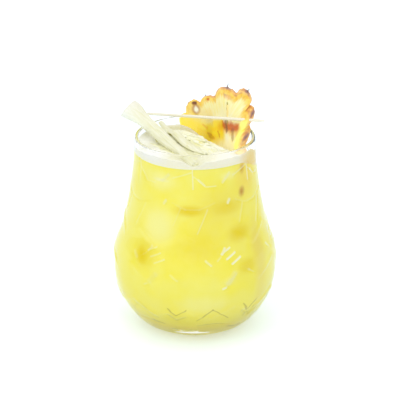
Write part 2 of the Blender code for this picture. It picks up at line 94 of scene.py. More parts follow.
_, glass_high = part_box("glass")
GLASS_HEIGHT = glass_high.z
glass_middle = Vector((0, 0, GLASS_HEIGHT / 2))
camera_data = bpy.data.cameras.new("camera")
camera_data.sensor_width = SENSOR_WIDTH
camera_data.lens = CAMERA_DISTANCE / PIXEL_SIZE / PICTURE_WIDTH * SENSOR_WIDTH
camera = put_in_scene("camera", camera_data)
to_camera = Vector((0, -math.cos(CAMERA_ELEVATION), math.sin(CAMERA_ELEVATION)))
camera.location = glass_middle + CAMERA_DISTANCE * to_camera
camera.rotation_euler = (camera.location - AIMED_AT).to_track_quat("Z", "Y").to_euler()
bpy.context.scene.camera = camera
print("lens, mm:", round(camera_data.lens, 1))

# %% [markdown]
# ## Helpers for shader nodes
#
# Every finish below is a small network of nodes. Adding nodes one call at a time is wordy, so a network has a
# short way to add each kind, which sets or links the node's inputs and hands back the output that is wanted.
# Colours are given as they look on screen, from 0 to 255, and are turned into the linear values that the
# renderer adds and multiplies.

# %% Node helpers
SPOT_CORE = 0.2  # share of a spot's radius that has its full strength


def on_screen(red, green, blue):
    """A colour as seen on screen, made linear."""
    shares = [value / 255 for value in (red, green, blue)]
    return (*[s / 12.92 if s <= 0.04045 else ((s + 0.055) / 1.055) ** 2.4 for s in shares], 1.0)


def millimetres(*sizes):
    return tuple(size * MM for size in sizes)


class Network:
    """A node tree with a short way to add each kind of node."""

    def __init__(self, tree):
        self.tree = tree

    def connect(self, value, socket):
        """Links an output to the socket, or sets the socket to a plain value or an on-screen colour."""
        if isinstance(value, bpy.types.NodeSocket):
            self.tree.links.new(value, socket)
        elif socket.type == "RGBA" and len(value) == 3:
            socket.default_value = on_screen(*value)
        else:
            socket.default_value = value

    def add(self, kind, inputs=None, **settings):
        node = self.tree.nodes.new("ShaderNode" + kind)
        for name, value in settings.items():
            setattr(node, name, value)
        for name, value in (inputs or {}).items():
            self.connect(value, node.inputs[name])
        return node

    def maths(self, operation, *values):
        return self.add("Math", dict(enumerate(values)), operation=operation).outputs[0]

    def times(self, first, second):
        return self.maths("MULTIPLY", first, second)

    def vectors(self, operation, *values):
        return self.add("VectorMath", dict(enumerate(values)), operation=operation).outputs[0]

    def measure(self, operation, *values):
        """A number worked out from vectors, such as a length."""
        return self.add("VectorMath", dict(enumerate(values)), operation=operation).outputs["Value"]

    def split(self, vector):
        return self.add("SeparateXYZ", {0: vector}).outputs

    def join(self, *parts):
        return self.add("CombineXYZ", dict(enumerate(parts))).outputs[0]

    def blend(self, share, first, second):
        """The first colour where share is 0, the second where it is 1."""
        return self.add("Mix", {0: share, 6: first, 7: second}, data_type="RGBA").outputs[2]

    def rise(self, value, low, high, lowest=0.0, highest=1.0):
        """A smooth step from lowest to highest as the value goes from low to high."""
        inputs = {"Value": value, "From Min": low, "From Max": high, "To Min": lowest, "To Max": highest}
        return self.add("MapRange", inputs, interpolation_type="SMOOTHSTEP").outputs[0]

    def grain(self, vector, scale, detail=2.0, roughness=0.5):
        inputs = {"Vector": vector, "Scale": scale, "Detail": detail, "Roughness": roughness}
        return self.add("TexNoise", inputs).outputs

    def shared(self, name, *values):
        """Places a shared group and hands back its mask."""
        node = self.add("Group")
        node.node_tree = GROUPS[name]
        for value, socket in zip(values, node.inputs):
            self.connect(value, socket)
        return node.outputs["Mask"]


class Finish(Network):
    """A Principled material, its constants set on the shader's own sockets."""

    def __init__(self, name, constants):
        self.material = bpy.data.materials.new(name)
        self.material.use_nodes = True
        super().__init__(self.material.node_tree)
        self.shader = self.tree.nodes["Principled BSDF"]
        self.place = self.add("TexCoord").outputs["Object"]
        for socket, value in constants.items():
            self.feed(socket, value)

    def feed(self, socket, value):
        self.connect(value, self.shader.inputs[socket])

    def clouded(self, size, contrast, first, second):
        """Two colours that drift into each other in soft clouds."""
        return self.blend(self.shared("clouding", self.place, size, contrast), first, second)

    def spotted(self, colour, spots):
        """Tints the colour with spots: middle and radii in mm, strength and colour of each."""
        for middle, radii, strength, tint in spots:
            offset = self.vectors("SUBTRACT", self.place, millimetres(*middle))
            away = self.measure("LENGTH", self.vectors("DIVIDE", offset, millimetres(*radii)))
            mask = self.times(self.rise(away, 1.0, SPOT_CORE), strength)
            colour = self.blend(mask, colour, tint)
        return colour

    def raise_surface(self, height, distance, strength):
        """Feeds the shader's normal from a bump of this height."""
        bump = self.add("Bump", {"Height": height, "Distance": distance, "Strength": strength})
        self.feed("Normal", bump.outputs[0])


# %% [markdown]
# ## Effects that several finishes share
#
# Juice, froth and ice are all a little uneven in colour, flesh and stalk are both made of long fibres, and
# wet things have fine bubbles. Each of these effects is a node group with named inputs, built once and placed
# in every material that needs it, as a workshop keeps one jar of each pigment.


# %% Shared node groups
def clouding(net, vector, size, contrast):
    """Soft blotches of a given size: 0 between them, 1 in them."""
    grain = net.grain(vector, net.maths("DIVIDE", 1.0, size), 3.0, 0.55)["Fac"]
    return net.rise(grain, net.maths("SUBTRACT", 0.5, contrast), net.maths("ADD", 0.5, contrast))


def fibres(net, vector, spacing, length):
    """Streaks that run along the vector's X and follow each other along its Y."""
    sizes = (length, spacing, spacing)
    stretched = net.join(*[net.maths("DIVIDE", part, size) for part, size in zip(net.split(vector), sizes)])
    return net.rise(net.grain(stretched, 1.0, 4.0, 0.6)["Fac"], 0.36, 0.64)


def bubbles(net, vector, size):
    """Round bubbles packed side by side: 1 in the middle of each, 0 where they meet."""
    cells = net.add("TexVoronoi", {"Vector": vector, "Scale": net.maths("DIVIDE", 1.0, size)})
    return net.rise(cells.outputs["Distance"], 0.75, 0.05)


def stroke(net, vector, start, end, width):
    """How near a point is to a straight line: 1 on the line, 0 a width away from it."""
    offset, along = net.vectors("SUBTRACT", vector, start), net.vectors("SUBTRACT", end, start)
    reached, whole = net.measure("DOT_PRODUCT", offset, along), net.measure("DOT_PRODUCT", along, along)
    share = net.add("Clamp", {0: net.maths("DIVIDE", reached, whole)}).outputs[0]
    nearest = net.add("VectorMath", {0: along, "Scale": share}, operation="SCALE").outputs[0]
    away = net.measure("LENGTH", net.vectors("SUBTRACT", offset, nearest))
    return net.rise(net.maths("DIVIDE", away, width), 1.0, 0.25)


def make_group(effect, defaults):
    """Builds the effect once, as a group whose named inputs have these defaults."""
    group = bpy.data.node_groups.new(effect.__name__.capitalize(), "ShaderNodeTree")
    for name, default in defaults.items():
        kind = "NodeSocketFloat" if isinstance(default, float) else "NodeSocketVector"
        group.interface.new_socket(name, in_out="INPUT", socket_type=kind).default_value = default
    group.interface.new_socket("Mask", in_out="OUTPUT", socket_type="NodeSocketFloat")
    given, result = group.nodes.new("NodeGroupInput"), group.nodes.new("NodeGroupOutput")
    net = Network(group)
    net.connect(effect(net, *[given.outputs[name] for name in defaults]), result.inputs["Mask"])
    return group


NOWHERE = (0.0, 0.0, 0.0)
GROUPS = {
    "clouding": make_group(clouding, {"Vector": NOWHERE, "Size": 0.02, "Contrast": 0.15}),
    "fibres": make_group(fibres, {"Vector": NOWHERE, "Spacing": 0.001, "Length": 0.02}),
    "bubbles": make_group(bubbles, {"Vector": NOWHERE, "Size": 0.0012}),
    "stroke": make_group(stroke, {"Vector": NOWHERE, "Start": NOWHERE, "End": (0, 0, 0.01), "Width": 0.001}),
}
print("shared groups:", ", ".join(GROUPS))

# %% [markdown]
# ## Helpers for shapes
#
# Nearly everything here is round, so most pieces start as a short line of vertices that is spun round the
# glass's axis. A finished piece keeps its object at the origin, with its place in its mesh, and rides on the
# measured model's only body.


# %% Shape helpers
def mix(a, b, share):
    return a + (b - a) * share


def steps_between(low, high, count):
    return [mix(low, high, i / count) for i in range(count + 1)]


def even_parts(whole, count):
    """From 0 up to the whole, in equal steps."""
    return [whole * i / count for i in range(count + 1)]


def polar(radius, angle):
    return radius * math.cos(angle), radius * math.sin(angle)


def held(value, low=0.0, high=1.0):
    return min(max(value, low), high)


def smoothstep(t):
    t = held(t)
    return t * t * (3 - 2 * t)


def through(knots, x):
    """A smooth curve through the knots (x, y), its slope at each taken from the neighbours."""
    x = held(x, knots[0][0], knots[-1][0])
    i = next(i for i in range(len(knots) - 1) if x <= knots[i + 1][0])
    (x0, y0), (x1, y1) = knots[i], knots[i + 1]
    before, after = knots[max(i - 1, 0)], knots[min(i + 2, len(knots) - 1)]
    step = x1 - x0
    slope0 = (y1 - before[1]) / (x1 - before[0]) * step
    slope1 = (after[1] - y0) / (after[0] - x0) * step
    t = (x - x0) / step
    start, end = y0 * (2 * t**3 - 3 * t**2 + 1), y1 * (3 * t**2 - 2 * t**3)
    return start + slope0 * (t**3 - 2 * t**2 + t) + end + slope1 * (t**3 - t**2)


def draw_profile(bm, points, closed=False):
    """A line of vertices in the XZ plane, ready to spin."""
    verts = [bm.verts.new((radius, 0, height)) for radius, height in points]
    for a, b in zip(verts, verts[1:]):
        bm.edges.new((a, b))
    if closed:
        bm.edges.new((verts[-1], verts[0]))
    return verts


def spin_round(bm, steps, angle=math.tau):
    """Turns the profile about +Z, joins what meets and faces everything outwards."""
    bmesh.ops.spin(
        bm, geom=bm.faces[:] + bm.edges[:] + bm.verts[:], axis=(0, 0, 1), cent=(0, 0, 0), angle=angle,
        steps=steps, use_merge=angle == math.tau,
    )
    bmesh.ops.remove_doubles(bm, verts=bm.verts, dist=1e-6)
    bmesh.ops.recalc_face_normals(bm, faces=bm.faces)


def angle_of(vert):
    return math.atan2(vert.co.y, vert.co.x)


def make_object(name, bm, material=None):
    """Turns a mesh under work into an object in the scene."""
    mesh = bpy.data.meshes.new(name)
    bm.to_mesh(mesh)
    bm.free()
    if material:
        mesh.materials.append(material)
    return put_in_scene(name, mesh)


def add_piece(name, bm, material, stands_for=(), sharp_from=40):
    """Makes the mesh an object that rides on the model, and hides the solids it stands for."""
    piece = make_object(name, bm, material)
    piece.data.shade_smooth()
    piece.data.set_sharp_from_angle(angle=math.radians(sharp_from))
    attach(piece, "root")
    if stands_for:
        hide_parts(*stands_for)
    print(f"{name}: {len(piece.data.polygons)} faces")


# %% [markdown]
# ## Floor and light
#
# The photograph is a bright one: a white ground that runs into a white backdrop, and light from every side.
# Such pictures are taken on a table that is lit from below as well, so the floor glows a little and the
# shadow under the glass stays faint. The sky is white and nearly even, a little darker at both sides, because
# clear glass shows only what it bends and mirrors: in an even white room it would vanish. Two weak lamps
# model the front, and two small bright ones put sparks on the relief.

# %% Floor and light
FLOOR_SIZE = 6.0
FLOOR_GLOW = 0.25
SKY_STRENGTH = 1.05
SIDE_SHADE = 0.3  # share of the light that is held back at both sides


def make_floor():
    paint = Finish(
        "pale_floor", {"Roughness": 0.8, "Emission Strength": FLOOR_GLOW, "Emission Color": (0.7, 0.9, 1, 1)}
    )
    paint.feed("Base Color", paint.clouded(0.25, 0.3, (238, 246, 254), (242, 248, 255)))
    bm = bmesh.new()
    bmesh.ops.create_grid(bm, x_segments=2, y_segments=2, size=FLOOR_SIZE / 2)
    floor = make_object("floor", bm, paint.material)
    floor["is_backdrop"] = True


def add_lamp(name, place, size, power):
    """A square lamp that faces the middle of the glass."""
    data = bpy.data.lights.new(name, "AREA")
    data.size = size
    data.energy = power
    lamp = put_in_scene(name, data)
    lamp.location = place
    lamp.rotation_euler = (Vector(place) - glass_middle).to_track_quat("Z", "Y").to_euler()


def make_world():
    world = bpy.data.worlds.new("white studio")
    world.use_nodes = True
    net = Network(world.node_tree)
    backdrop = net.tree.nodes["Background"]
    backdrop.inputs["Color"].default_value = (1, 1, 1, 1)
    sideways = net.maths("ABSOLUTE", net.split(net.add("TexCoord").outputs["Generated"])[0])
    shade = net.rise(sideways, 0.80, 0.97, SKY_STRENGTH, SKY_STRENGTH * (1 - SIDE_SHADE))
    sky = net.add("Background", {"Color": (1, 1, 1, 1), "Strength": shade})
    seen = net.add("LightPath").outputs["Is Camera Ray"]
    either = net.add("MixShader", {0: seen, 1: sky.outputs[0], 2: backdrop.outputs[0]})
    net.connect(either.outputs[0], net.tree.nodes["World Output"].inputs["Surface"])
    bpy.context.scene.world = world


make_floor()
make_world()
add_lamp("left_window", (-1.1, -0.6, 0.8), 0.8, 0.8)
add_lamp("front_window", (0.0, -1.4, 0.9), 0.8, 0.6)
add_lamp("high_spark", (0.26, -1.0, 1.15), 0.16, 0.9)
add_lamp("left_spark", (-0.75, -0.6, 1.2), 0.16, 0.6)
bpy.context.scene.view_settings.view_transform = "Standard"

# %% [markdown]
# ## The tumbler
#
# The glass is pressed in a mould: a narrow neck over a round belly, a thick foot, and a pattern of zigzags,
# hatching and hanging arcs in low relief. A bump in the material would leave the outline smooth, so the
# relief is real: the profile is spun finely and each vertex outside is then moved in or out by the pattern.
# The numbers of the outline are those of the measured solid, so the new glass stands in the same place.

# %% Outline of the tumbler
RIM_RADIUS = 36.6 * MM
RIM_WALL = 2.2 * MM
BELLY_RADIUS = 50.0 * MM
FOOT_RADIUS = 24.0 * MM
FOOT_WALL = 4.2 * MM
WALL_THINS = 1.4  # the wall has thinned to the rim's at 1 / 1.4 of the height
FLOOR_HEIGHT = 9 * MM
FLOOR_RADIUS = 15 * MM
FLOOR_ROUNDING = 14 * MM
FLOOR_TOP = FLOOR_HEIGHT + FLOOR_ROUNDING
FOOT_ROUNDING = 1.5 * MM
OUTLINE = (  # height and radius, as shares of the glass's height and the belly's radius
    (0.000, 0.480), (0.033, 0.672), (0.070, 0.772), (0.127, 0.870), (0.197, 0.952), (0.270, 0.992),
    (0.336, 1.000), (0.434, 0.982), (0.545, 0.886), (0.656, 0.826), (0.754, 0.786), (0.861, 0.752),
    (1.000, 0.732),
)


def outer_radius(z):
    return BELLY_RADIUS * through(OUTLINE, z / GLASS_HEIGHT)


def inner_radius(z):
    radius = outer_radius(z) - mix(FOOT_WALL, RIM_WALL, smoothstep(z / GLASS_HEIGHT * WALL_THINS))
    if z < FLOOR_TOP:
        drop = (FLOOR_TOP - z) / FLOOR_ROUNDING
        radius = mix(FLOOR_RADIUS, radius, math.sqrt(max(0.0, 1 - drop**2)))
    return radius


print("widest, mm:", 2 * BELLY_RADIUS / MM, " rim, mm:", 2 * RIM_RADIUS / MM)

# %% [markdown]
# The pattern is a row of simple cuts that repeats round the glass: chevrons low on the belly with an arc
# under them, hatching at the widest place, slanting strokes above it, and an upright bar with hanging arcs
# on the neck. Each cut is a straight stroke between two places, given as an angle and a height. The surface
# sinks beside a stroke's line by how near it is. Three soft zigzag ridges, the measured solid's, lie below.
#
# A cut also gathers light on the juice close behind it, or keeps light from it. Its shine says how much the
# juice there is paler, or darker where the shine is negative. The lines are clearest on the right.

# %% Moulded pattern
ZIGZAGS = 9
ZIGZAG_RISE = 4 * MM
RIDGE_HEIGHTS = millimetres(25, 47, 69)
RIDGE_HALF_WIDTH = 3 * MM
RIDGE_RELIEF = 0.5 * MM
REPEATS = 6  # of the cuts
REPEAT = math.tau / REPEATS
FRONT = -math.pi / 2
CUT_SLOPE = 0.5  # depth against half width
HATCH_HALF_ANGLE, HATCH_HALF_RISE = 3.8, 1.5  # degrees and mm
WAVINESS, WAVE_SIZE = 0.12 * MM, 18 * MM


def cut_line(shine, half_width, *places):
    """Strokes from place to place: angles in degrees from the front, heights and half width in mm."""
    strokes = []
    for (angle0, height0), (angle1, height1) in zip(places, places[1:]):
        middle, half_turn = math.radians(angle0 + angle1) / 2, math.radians(angle1 - angle0) / 2
        strokes.append((middle, half_turn, height0 * MM, height1 * MM, half_width * MM, shine))
    return strokes


def hatching(shine, half_width, angle, height, count, spacing, drop):
    """Parallel strokes that lean to the right, each a little lower than the one before."""
    strokes = []
    for i in range(count):
        middle, level = angle + spacing * i, height - drop * i
        start = (middle - HATCH_HALF_ANGLE, level - HATCH_HALF_RISE)
        strokes += cut_line(shine, half_width, start, (middle + HATCH_HALF_ANGLE, level + HATCH_HALF_RISE))
    return strokes


CUTS = [
    *cut_line(-0.5, 0.6, (-21, 26.5), (-15, 22), (-7, 26.5)),
    *cut_line(-0.15, 1.8, (-21, 22), (-15, 18), (-8, 21)),
    *cut_line(-0.45, 0.55, (1, 18.5), (13.5, 26.5), (28, 18.5)),
    *cut_line(-0.4, 0.7, (2, 14), (11, 15.2), (20, 15.2), (29, 13.5)),
    *cut_line(-0.35, 0.5, (-21, 11), (-8, 10.2), (3, 10)),
    *hatching(1.0, 0.9, 24.5, 62.5, 3, 3.9, 3.2),
    *cut_line(0.9, 1.3, (21.5, 61), (24, 64)),
    *cut_line(0.3, 0.8, (17, 57.5), (20, 59.5)),
    *cut_line(0.6, 1.1, (8, 58), (12, 55.2)),
    *cut_line(0.9, 1.0, (20.5, 40), (22.5, 40.5)),
    *cut_line(0.4, 3.0, (25, 43), (30, 48)),
    *cut_line(0.3, 1.0, (-18, 49), (-13, 46)),
    *cut_line(0.35, 0.9, (2, 74), (11, 88)),
    *cut_line(0.2, 0.9, (-19, 78), (-13, 89)),
    *cut_line(0.12, 1.0, (-21, 92), (-9, 88.5), (4, 88.5), (18, 92)),
    *cut_line(1.0, 1.8, (31, 91), (32.5, 92.5)),
    *cut_line(0.7, 0.9, (-2.7, 116.5), (-1.8, 101)),
    *cut_line(0.4, 0.7, (-1, 108.5), (3, 106.5)),
    *cut_line(0.75, 1.3, (3.5, 106.3), (9, 103)),
    *cut_line(0.45, 0.7, (10, 102.2), (20, 102.2)),
    *cut_line(0.35, 0.9, (-21.5, 107), (-4, 111)),
    *cut_line(0.5, 1.9, (27, 104), (34, 108.5)),
]


def cut_depth(angle, z):
    """How deep the cuts go at this place, 0 on plain glass."""
    deepest = 0.0
    radius = outer_radius(z)
    for middle, half_turn, z0, z1, half_width, _ in CUTS:
        if min(z0, z1) - half_width < z < max(z0, z1) + half_width:
            turn = (angle - FRONT - middle + REPEAT / 2) % REPEAT - REPEAT / 2
            offset = Vector(((turn + half_turn) * radius, z - z0))
            along = Vector((2 * half_turn * radius, z1 - z0))
            away = (offset - along * held(offset.dot(along) / along.length_squared)).length
            deepest = max(deepest, CUT_SLOPE * (half_width - away))
    return deepest


def zigzag(angle):
    """From -1 to 1 and back, once in each zigzag."""
    turn = angle / math.tau * ZIGZAGS
    return 4 * abs(turn - math.floor(turn + 0.5)) - 1


def ridge_height(angle, z):
    away = min(abs(z - height - ZIGZAG_RISE * zigzag(angle)) for height in RIDGE_HEIGHTS)
    return RIDGE_RELIEF * smoothstep(1 - away / RIDGE_HALF_WIDTH)


print("strokes in one repeat:", len(CUTS))

# %% Spin the glass
GLASS_STEPS = 420
PATTERN_LOW, PATTERN_HIGH, PATTERN_FADE = millimetres(3, 117, 2)
RING_STEP = 0.6 * MM
FLOOR_STEPS, WALL_STEPS, FOOT_STEPS, RIM_STEPS = 10, 16, 4, 10


def inside_heights():
    """Rings up the inside, close together round the floor's edge."""
    turns = even_parts(math.pi / 2, FLOOR_STEPS)[:-1]
    bend = [FLOOR_TOP - FLOOR_ROUNDING * math.cos(turn) for turn in turns]
    return bend + steps_between(FLOOR_TOP, GLASS_HEIGHT - RIM_WALL, WALL_STEPS)


def rounded_foot():
    """The foot's edge, from the flat underside up to the wall."""
    edge = outer_radius(FOOT_ROUNDING)
    turns = even_parts(math.pi / 2, FOOT_STEPS)
    return [(mix(FOOT_RADIUS, edge, math.sin(t)), FOOT_ROUNDING * (1 - math.cos(t))) for t in turns]


def rounded_rim():
    """The fire-polished rim: half a circle from the outside to the inside."""
    middle, half = RIM_RADIUS - RIM_WALL / 2, RIM_WALL / 2
    turns = even_parts(math.pi, RIM_STEPS)
    return [(middle + half * math.cos(t), GLASS_HEIGHT - half + half * math.sin(t)) for t in turns]


heights = steps_between(PATTERN_LOW, PATTERN_HIGH, round((PATTERN_HIGH - PATTERN_LOW) / RING_STEP))
outside = [(outer_radius(z), z) for z in heights]
inside = [(inner_radius(z), z) for z in reversed(inside_heights())]
bm = bmesh.new()
draw_profile(bm, [(0, 0)] + rounded_foot() + outside + rounded_rim() + inside + [(0, FLOOR_HEIGHT)])
spin_round(bm, GLASS_STEPS)
for vert in bm.verts:
    radius, z = vert.co.xy.length, vert.co.z
    if PATTERN_LOW <= z <= PATTERN_HIGH and radius > outer_radius(z) - MM:
        angle = angle_of(vert)
        fade = smoothstep(min(z - PATTERN_LOW, PATTERN_HIGH - z) / PATTERN_FADE)
        wave = WAVINESS * noise.noise(vert.co / WAVE_SIZE)
        out = ridge_height(angle, z) - cut_depth(angle, z) + wave
        vert.co.xy *= 1 + fade * out / radius

# %% [markdown]
# Clear glass has hardly a colour of its own: it is drawn by what it bends and mirrors. Two things are painted
# into
# its colour: a faint grey line of painted shade where one looks along its surface, and in the thick foot the
# warm tone of the juice above, painted as if seen through it. One thing needs help. A lamp's light would
# reach the juice only by chance, bent through the wall, so the renderer is told to let the lamps straight
# through: a ray that only tests for shadow meets a transparent wall.

# %% Glass finish
paint = Finish("clear_moulded_glass", {"Roughness": 0.0, "IOR": 1.42, "Transmission Weight": 1.0})
# Painted shade: the glass's colour turns grey where one looks along its surface.
facing = paint.add("LayerWeight", {"Blend": 0.5}).outputs["Facing"]
tint = paint.blend(paint.rise(facing, 0.86, 1.0), (255, 255, 255), (226, 228, 216))
# Painted light: the warm tone of the juice, as seen through the thick foot and its underside, is painted into
# the glass's colour at the bottom.
foot = ((0, 0, 0), (150, 150, 9), 1.0, (236, 228, 184))
underside = ((0, 0, 0), (150, 150, 5), 1.0, (234, 212, 110))
paint.feed("Base Color", paint.spotted(tint, [foot, underside]))
paint.raise_surface(paint.grain(paint.place, 90.0)["Fac"], 0.06 * MM, 0.5)
shadow_ray = paint.add("LightPath").outputs["Is Shadow Ray"]
clear = paint.add("BsdfTransparent").outputs[0]
either = paint.add("MixShader", {0: shadow_ray, 1: paint.shader.outputs[0], 2: clear})
paint.connect(either.outputs[0], paint.tree.nodes["Material Output"].inputs["Surface"])

add_piece("tumbler", bm, paint.material, ["glass"], sharp_from=80)

# %% [markdown]
# ## The surface of the drink
#
# Froth and ice float on the juice. The ice is heaped along a crest that runs from the middle to the front
# right, and behind it the heap has slumped towards the slice. The stalk has pressed a furrow into it. These
# few functions are the same as the measured solid's, and every piece below takes its height from them.

# %% Heights of juice, froth and ice
DRINK_LEVEL = GLASS_HEIGHT - 8.7 * MM
FROTH_LEVEL = GLASS_HEIGHT - 4.5 * MM
FROTH_WIDTH = 7.5 * MM
FROTH_WAVE = 1.0 * MM
FROTH_RIPPLE = 0.5 * MM
LEAST_LAYER = 1.0 * MM
CREST_START, CREST_END = Vector(millimetres(-6, 7)), Vector(millimetres(20.4, -15.6))
CREST_RISES = millimetres(5.5, 0.3)  # at its start and at its end
CREST_WIDTH = 7 * MM
CREST_LEAD_IN = 14 * MM
SLUMP_SLOPE = 0.49
SLUMP_ROUNDING = 3 * MM
SLUMP_FADE = millimetres(-24, -4)
STALK_OVER_RIM = Vector((-32.1 * MM, 15.1 * MM, GLASS_HEIGHT + 4.9 * MM))
STALK_INNER_END = Vector((0, -31.4 * MM, GLASS_HEIGHT - 8.0 * MM))
STALK_DENT = 5 * MM
WALL_TRIES = 5


def crest_place(x, y):
    """How far along the crest a point lies, how far behind it, and the crest's length."""
    crest = CREST_END - CREST_START
    along = crest.normalized()
    offset = Vector((x, y)) - CREST_START
    return offset.dot(along), offset.dot(Vector((-along.y, along.x))), crest.length


def slump(x, y):
    along, behind, _ = crest_place(x, y)
    fade = smoothstep((along - SLUMP_FADE[0]) / (SLUMP_FADE[1] - SLUMP_FADE[0]))
    return SLUMP_SLOPE * (behind + math.hypot(behind, SLUMP_ROUNDING)) / 2 * fade


def crest_rise(x, y):
    along, behind, length = crest_place(x, y)
    rise = mix(*CREST_RISES, smoothstep(along / length))
    return rise * smoothstep(along / CREST_LEAD_IN + 1) * math.exp(-((behind / CREST_WIDTH) ** 2))


def drink_top(x, y):
    return DRINK_LEVEL - slump(x, y)


def pressed_down(x, y, height):
    """Beside the stalk the surface sinks to the stalk's axis."""
    start, end = STALK_OVER_RIM.xy, STALK_INNER_END.xy
    share = held((Vector((x, y)) - start).dot(end - start) / (end - start).length_squared)
    away = (Vector((x, y)) - start.lerp(end, share)).length
    axis_height = mix(STALK_OVER_RIM.z, STALK_INNER_END.z, share)
    floor = max(axis_height, drink_top(x, y) + LEAST_LAYER)
    return mix(height, min(height, floor), math.exp(-((away / STALK_DENT) ** 4)))


def froth_top(x, y):
    ripple = FROTH_RIPPLE * math.sin(5 * math.atan2(y, x))
    return pressed_down(x, y, FROTH_LEVEL - slump(x, y) + ripple)


def ice_top(x, y):
    return pressed_down(x, y, FROTH_LEVEL - slump(x, y) + crest_rise(x, y))


def froth_edge(angle):
    """Radius where the froth meets the ice."""
    wave = FROTH_WAVE * (math.sin(3 * angle + 1) + 0.6 * math.sin(7 * angle))
    return inner_radius(DRINK_LEVEL) - FROTH_WIDTH + wave


def wall_meets(surface, angle, reach):
    """Radius and height at which a surface reaches the wall."""
    radius = RIM_RADIUS - RIM_WALL
    for _ in range(WALL_TRIES):
        height = surface(*polar(radius, angle))
        radius = inner_radius(height) + reach
    return radius, height


print("front liquid line, mm below the rim:", (GLASS_HEIGHT - DRINK_LEVEL) / MM)

# %% [markdown]
# ## The juice
#
# Juice in a glass has no air between it and the wall. Two surfaces that touch would flicker, and a gap would
# mirror like a bubble, so the juice reaches a quarter of a millimetre into the wall: seen from outside, its
# own surface comes first. It is spun like the glass, and its top then follows the slumped surface.

# %% Juice shape
JUICE_REACH = 0.25 * MM
JUICE_STEPS = 192
JUICE_CAP_RINGS = 16
JUICE_WALL_RINGS = 44
NECK_HEIGHT = 88 * MM  # above it the juice follows the slumped surface

wall = inside_heights()[:FLOOR_STEPS] + steps_between(FLOOR_TOP, DRINK_LEVEL, JUICE_WALL_RINGS)
side = [(inner_radius(z) + JUICE_REACH, z - JUICE_REACH * (z < FLOOR_TOP)) for z in wall]
cap = [(radius, DRINK_LEVEL) for radius in even_parts(side[-1][0], JUICE_CAP_RINGS)[-2::-1]]
bm = bmesh.new()
draw_profile(bm, [(0, FLOOR_HEIGHT - JUICE_REACH)] + side + cap)
spin_round(bm, JUICE_STEPS)
for vert in bm.verts:
    if vert.co.z > NECK_HEIGHT:
        angle = angle_of(vert)
        share = vert.co.xy.length / (inner_radius(vert.co.z) + JUICE_REACH)
        edge, edge_height = wall_meets(drink_top, angle, JUICE_REACH)
        if share < 1 - 1e-4:
            x, y = polar(share * edge, angle)
            vert.co = (x, y, drink_top(x, y))
        else:
            up = (vert.co.z - NECK_HEIGHT) / (DRINK_LEVEL - NECK_HEIGHT)
            height = mix(NECK_HEIGHT, edge_height, up)
            vert.co = (*polar(inner_radius(height) + JUICE_REACH, angle), height)

# %% [markdown]
# Cloudy juice is not one yellow. Pulp hangs in it in pale clouds and deeper golden patches. Light is painted
# on
# it too: pale spots where the juice looks brighter and where the relief throws pale smears and highlights on
# it, and the near flap of the pineapple, painted as seen through the juice, as a warmer streak with two brown
# marks.
# The lines of light that the cuts throw are painted as well: the juice's angle is folded into one repeat of
# the pattern, so that one set of strokes serves all round. They grow clearer from left to right.

# %% Juice finish
UNROLLED_RADIUS = 45 * MM
FOLD_MIDDLE = math.radians(8)  # middle of the repeat that faces the camera
LIGHT_LINE, LIGHT_CLEARS, LIGHT_LEAST = (255, 254, 220), millimetres(-26, -4), 0.3
DARK_LINE, DARK_CLEARS, DARK_LEAST = (150, 132, 30), millimetres(-30, -17), 0.2
SPOT_DEPTH = 3.0  # mm


def on_wall(angle, height):
    """A place just inside the wall, in mm, given by degrees from the front and mm up."""
    radius = inner_radius(height * MM) / MM - SPOT_DEPTH
    return (*polar(radius, FRONT + math.radians(angle)), height)


PAINTED_PALE_LIGHT, GOLDEN, WARM, BROWN = (255, 252, 176), (240, 216, 0), (252, 226, 92), (184, 100, 22)
JUICE_TONES_AND_PAINTED_LIGHT = (
    ((0, 0, 0), (95, 95, 50), 0.7, (252, 234, 96)),
    ((0, 0, 4), (70, 70, 18), 0.7, (246, 222, 112)),
    # Painted light: pale spots where the juice looks brighter and where the relief throws pale smears and
    # highlights on it.
    (on_wall(-33, 76), (15, 20, 18), 0.75, PAINTED_PALE_LIGHT),
    (on_wall(-34, 104), (14, 20, 9), 0.6, PAINTED_PALE_LIGHT),
    (on_wall(6, 30), (24, 22, 9), 0.4, PAINTED_PALE_LIGHT),
    (on_wall(36, 107), (8, 14, 4), 0.6, PAINTED_PALE_LIGHT),
    (on_wall(27, 44), (6, 12, 5), 0.4, PAINTED_PALE_LIGHT),
    (on_wall(-42, 57), (12, 14, 12), 0.5, GOLDEN),
    (on_wall(-47, 56.5), (4.2, 12, 7.5), 1.0, GOLDEN),
    (on_wall(-5, 87.5), (13, 14, 5), 0.95, GOLDEN),
    (on_wall(29, 88), (14, 14, 6.5), 0.6, GOLDEN),
    (on_wall(40, 71), (11, 14, 8), 0.8, GOLDEN),
    (on_wall(43, 51), (9, 14, 7), 0.7, GOLDEN),
    (on_wall(5, 66), (20, 20, 15), 0.3, GOLDEN),
    (on_wall(22, 88), (24, 24, 20), 0.3, GOLDEN),
    (on_wall(57, 50), (8, 10, 40), 0.5, (240, 218, 130)),
    # Painted: the near flap of the pineapple, as seen through the cloudy juice, as a warmer streak.
    (on_wall(58, 104), (10, 16, 20), 0.7, WARM),
    # Painted highlight: a bright streak that a cut throws on the juice.
    (on_wall(-36, 104.5), (6, 12, 1.8), 0.7, (255, 252, 208)),
    # Painted: the flap's two brown marks, as seen through the juice.
    (on_wall(53, 95.0), (2.7, 10, 5.2), 1.0, BROWN),
    (on_wall(57.5, 109.5), (2.3, 10, 7.0), 0.9, (206, 140, 20)),
)


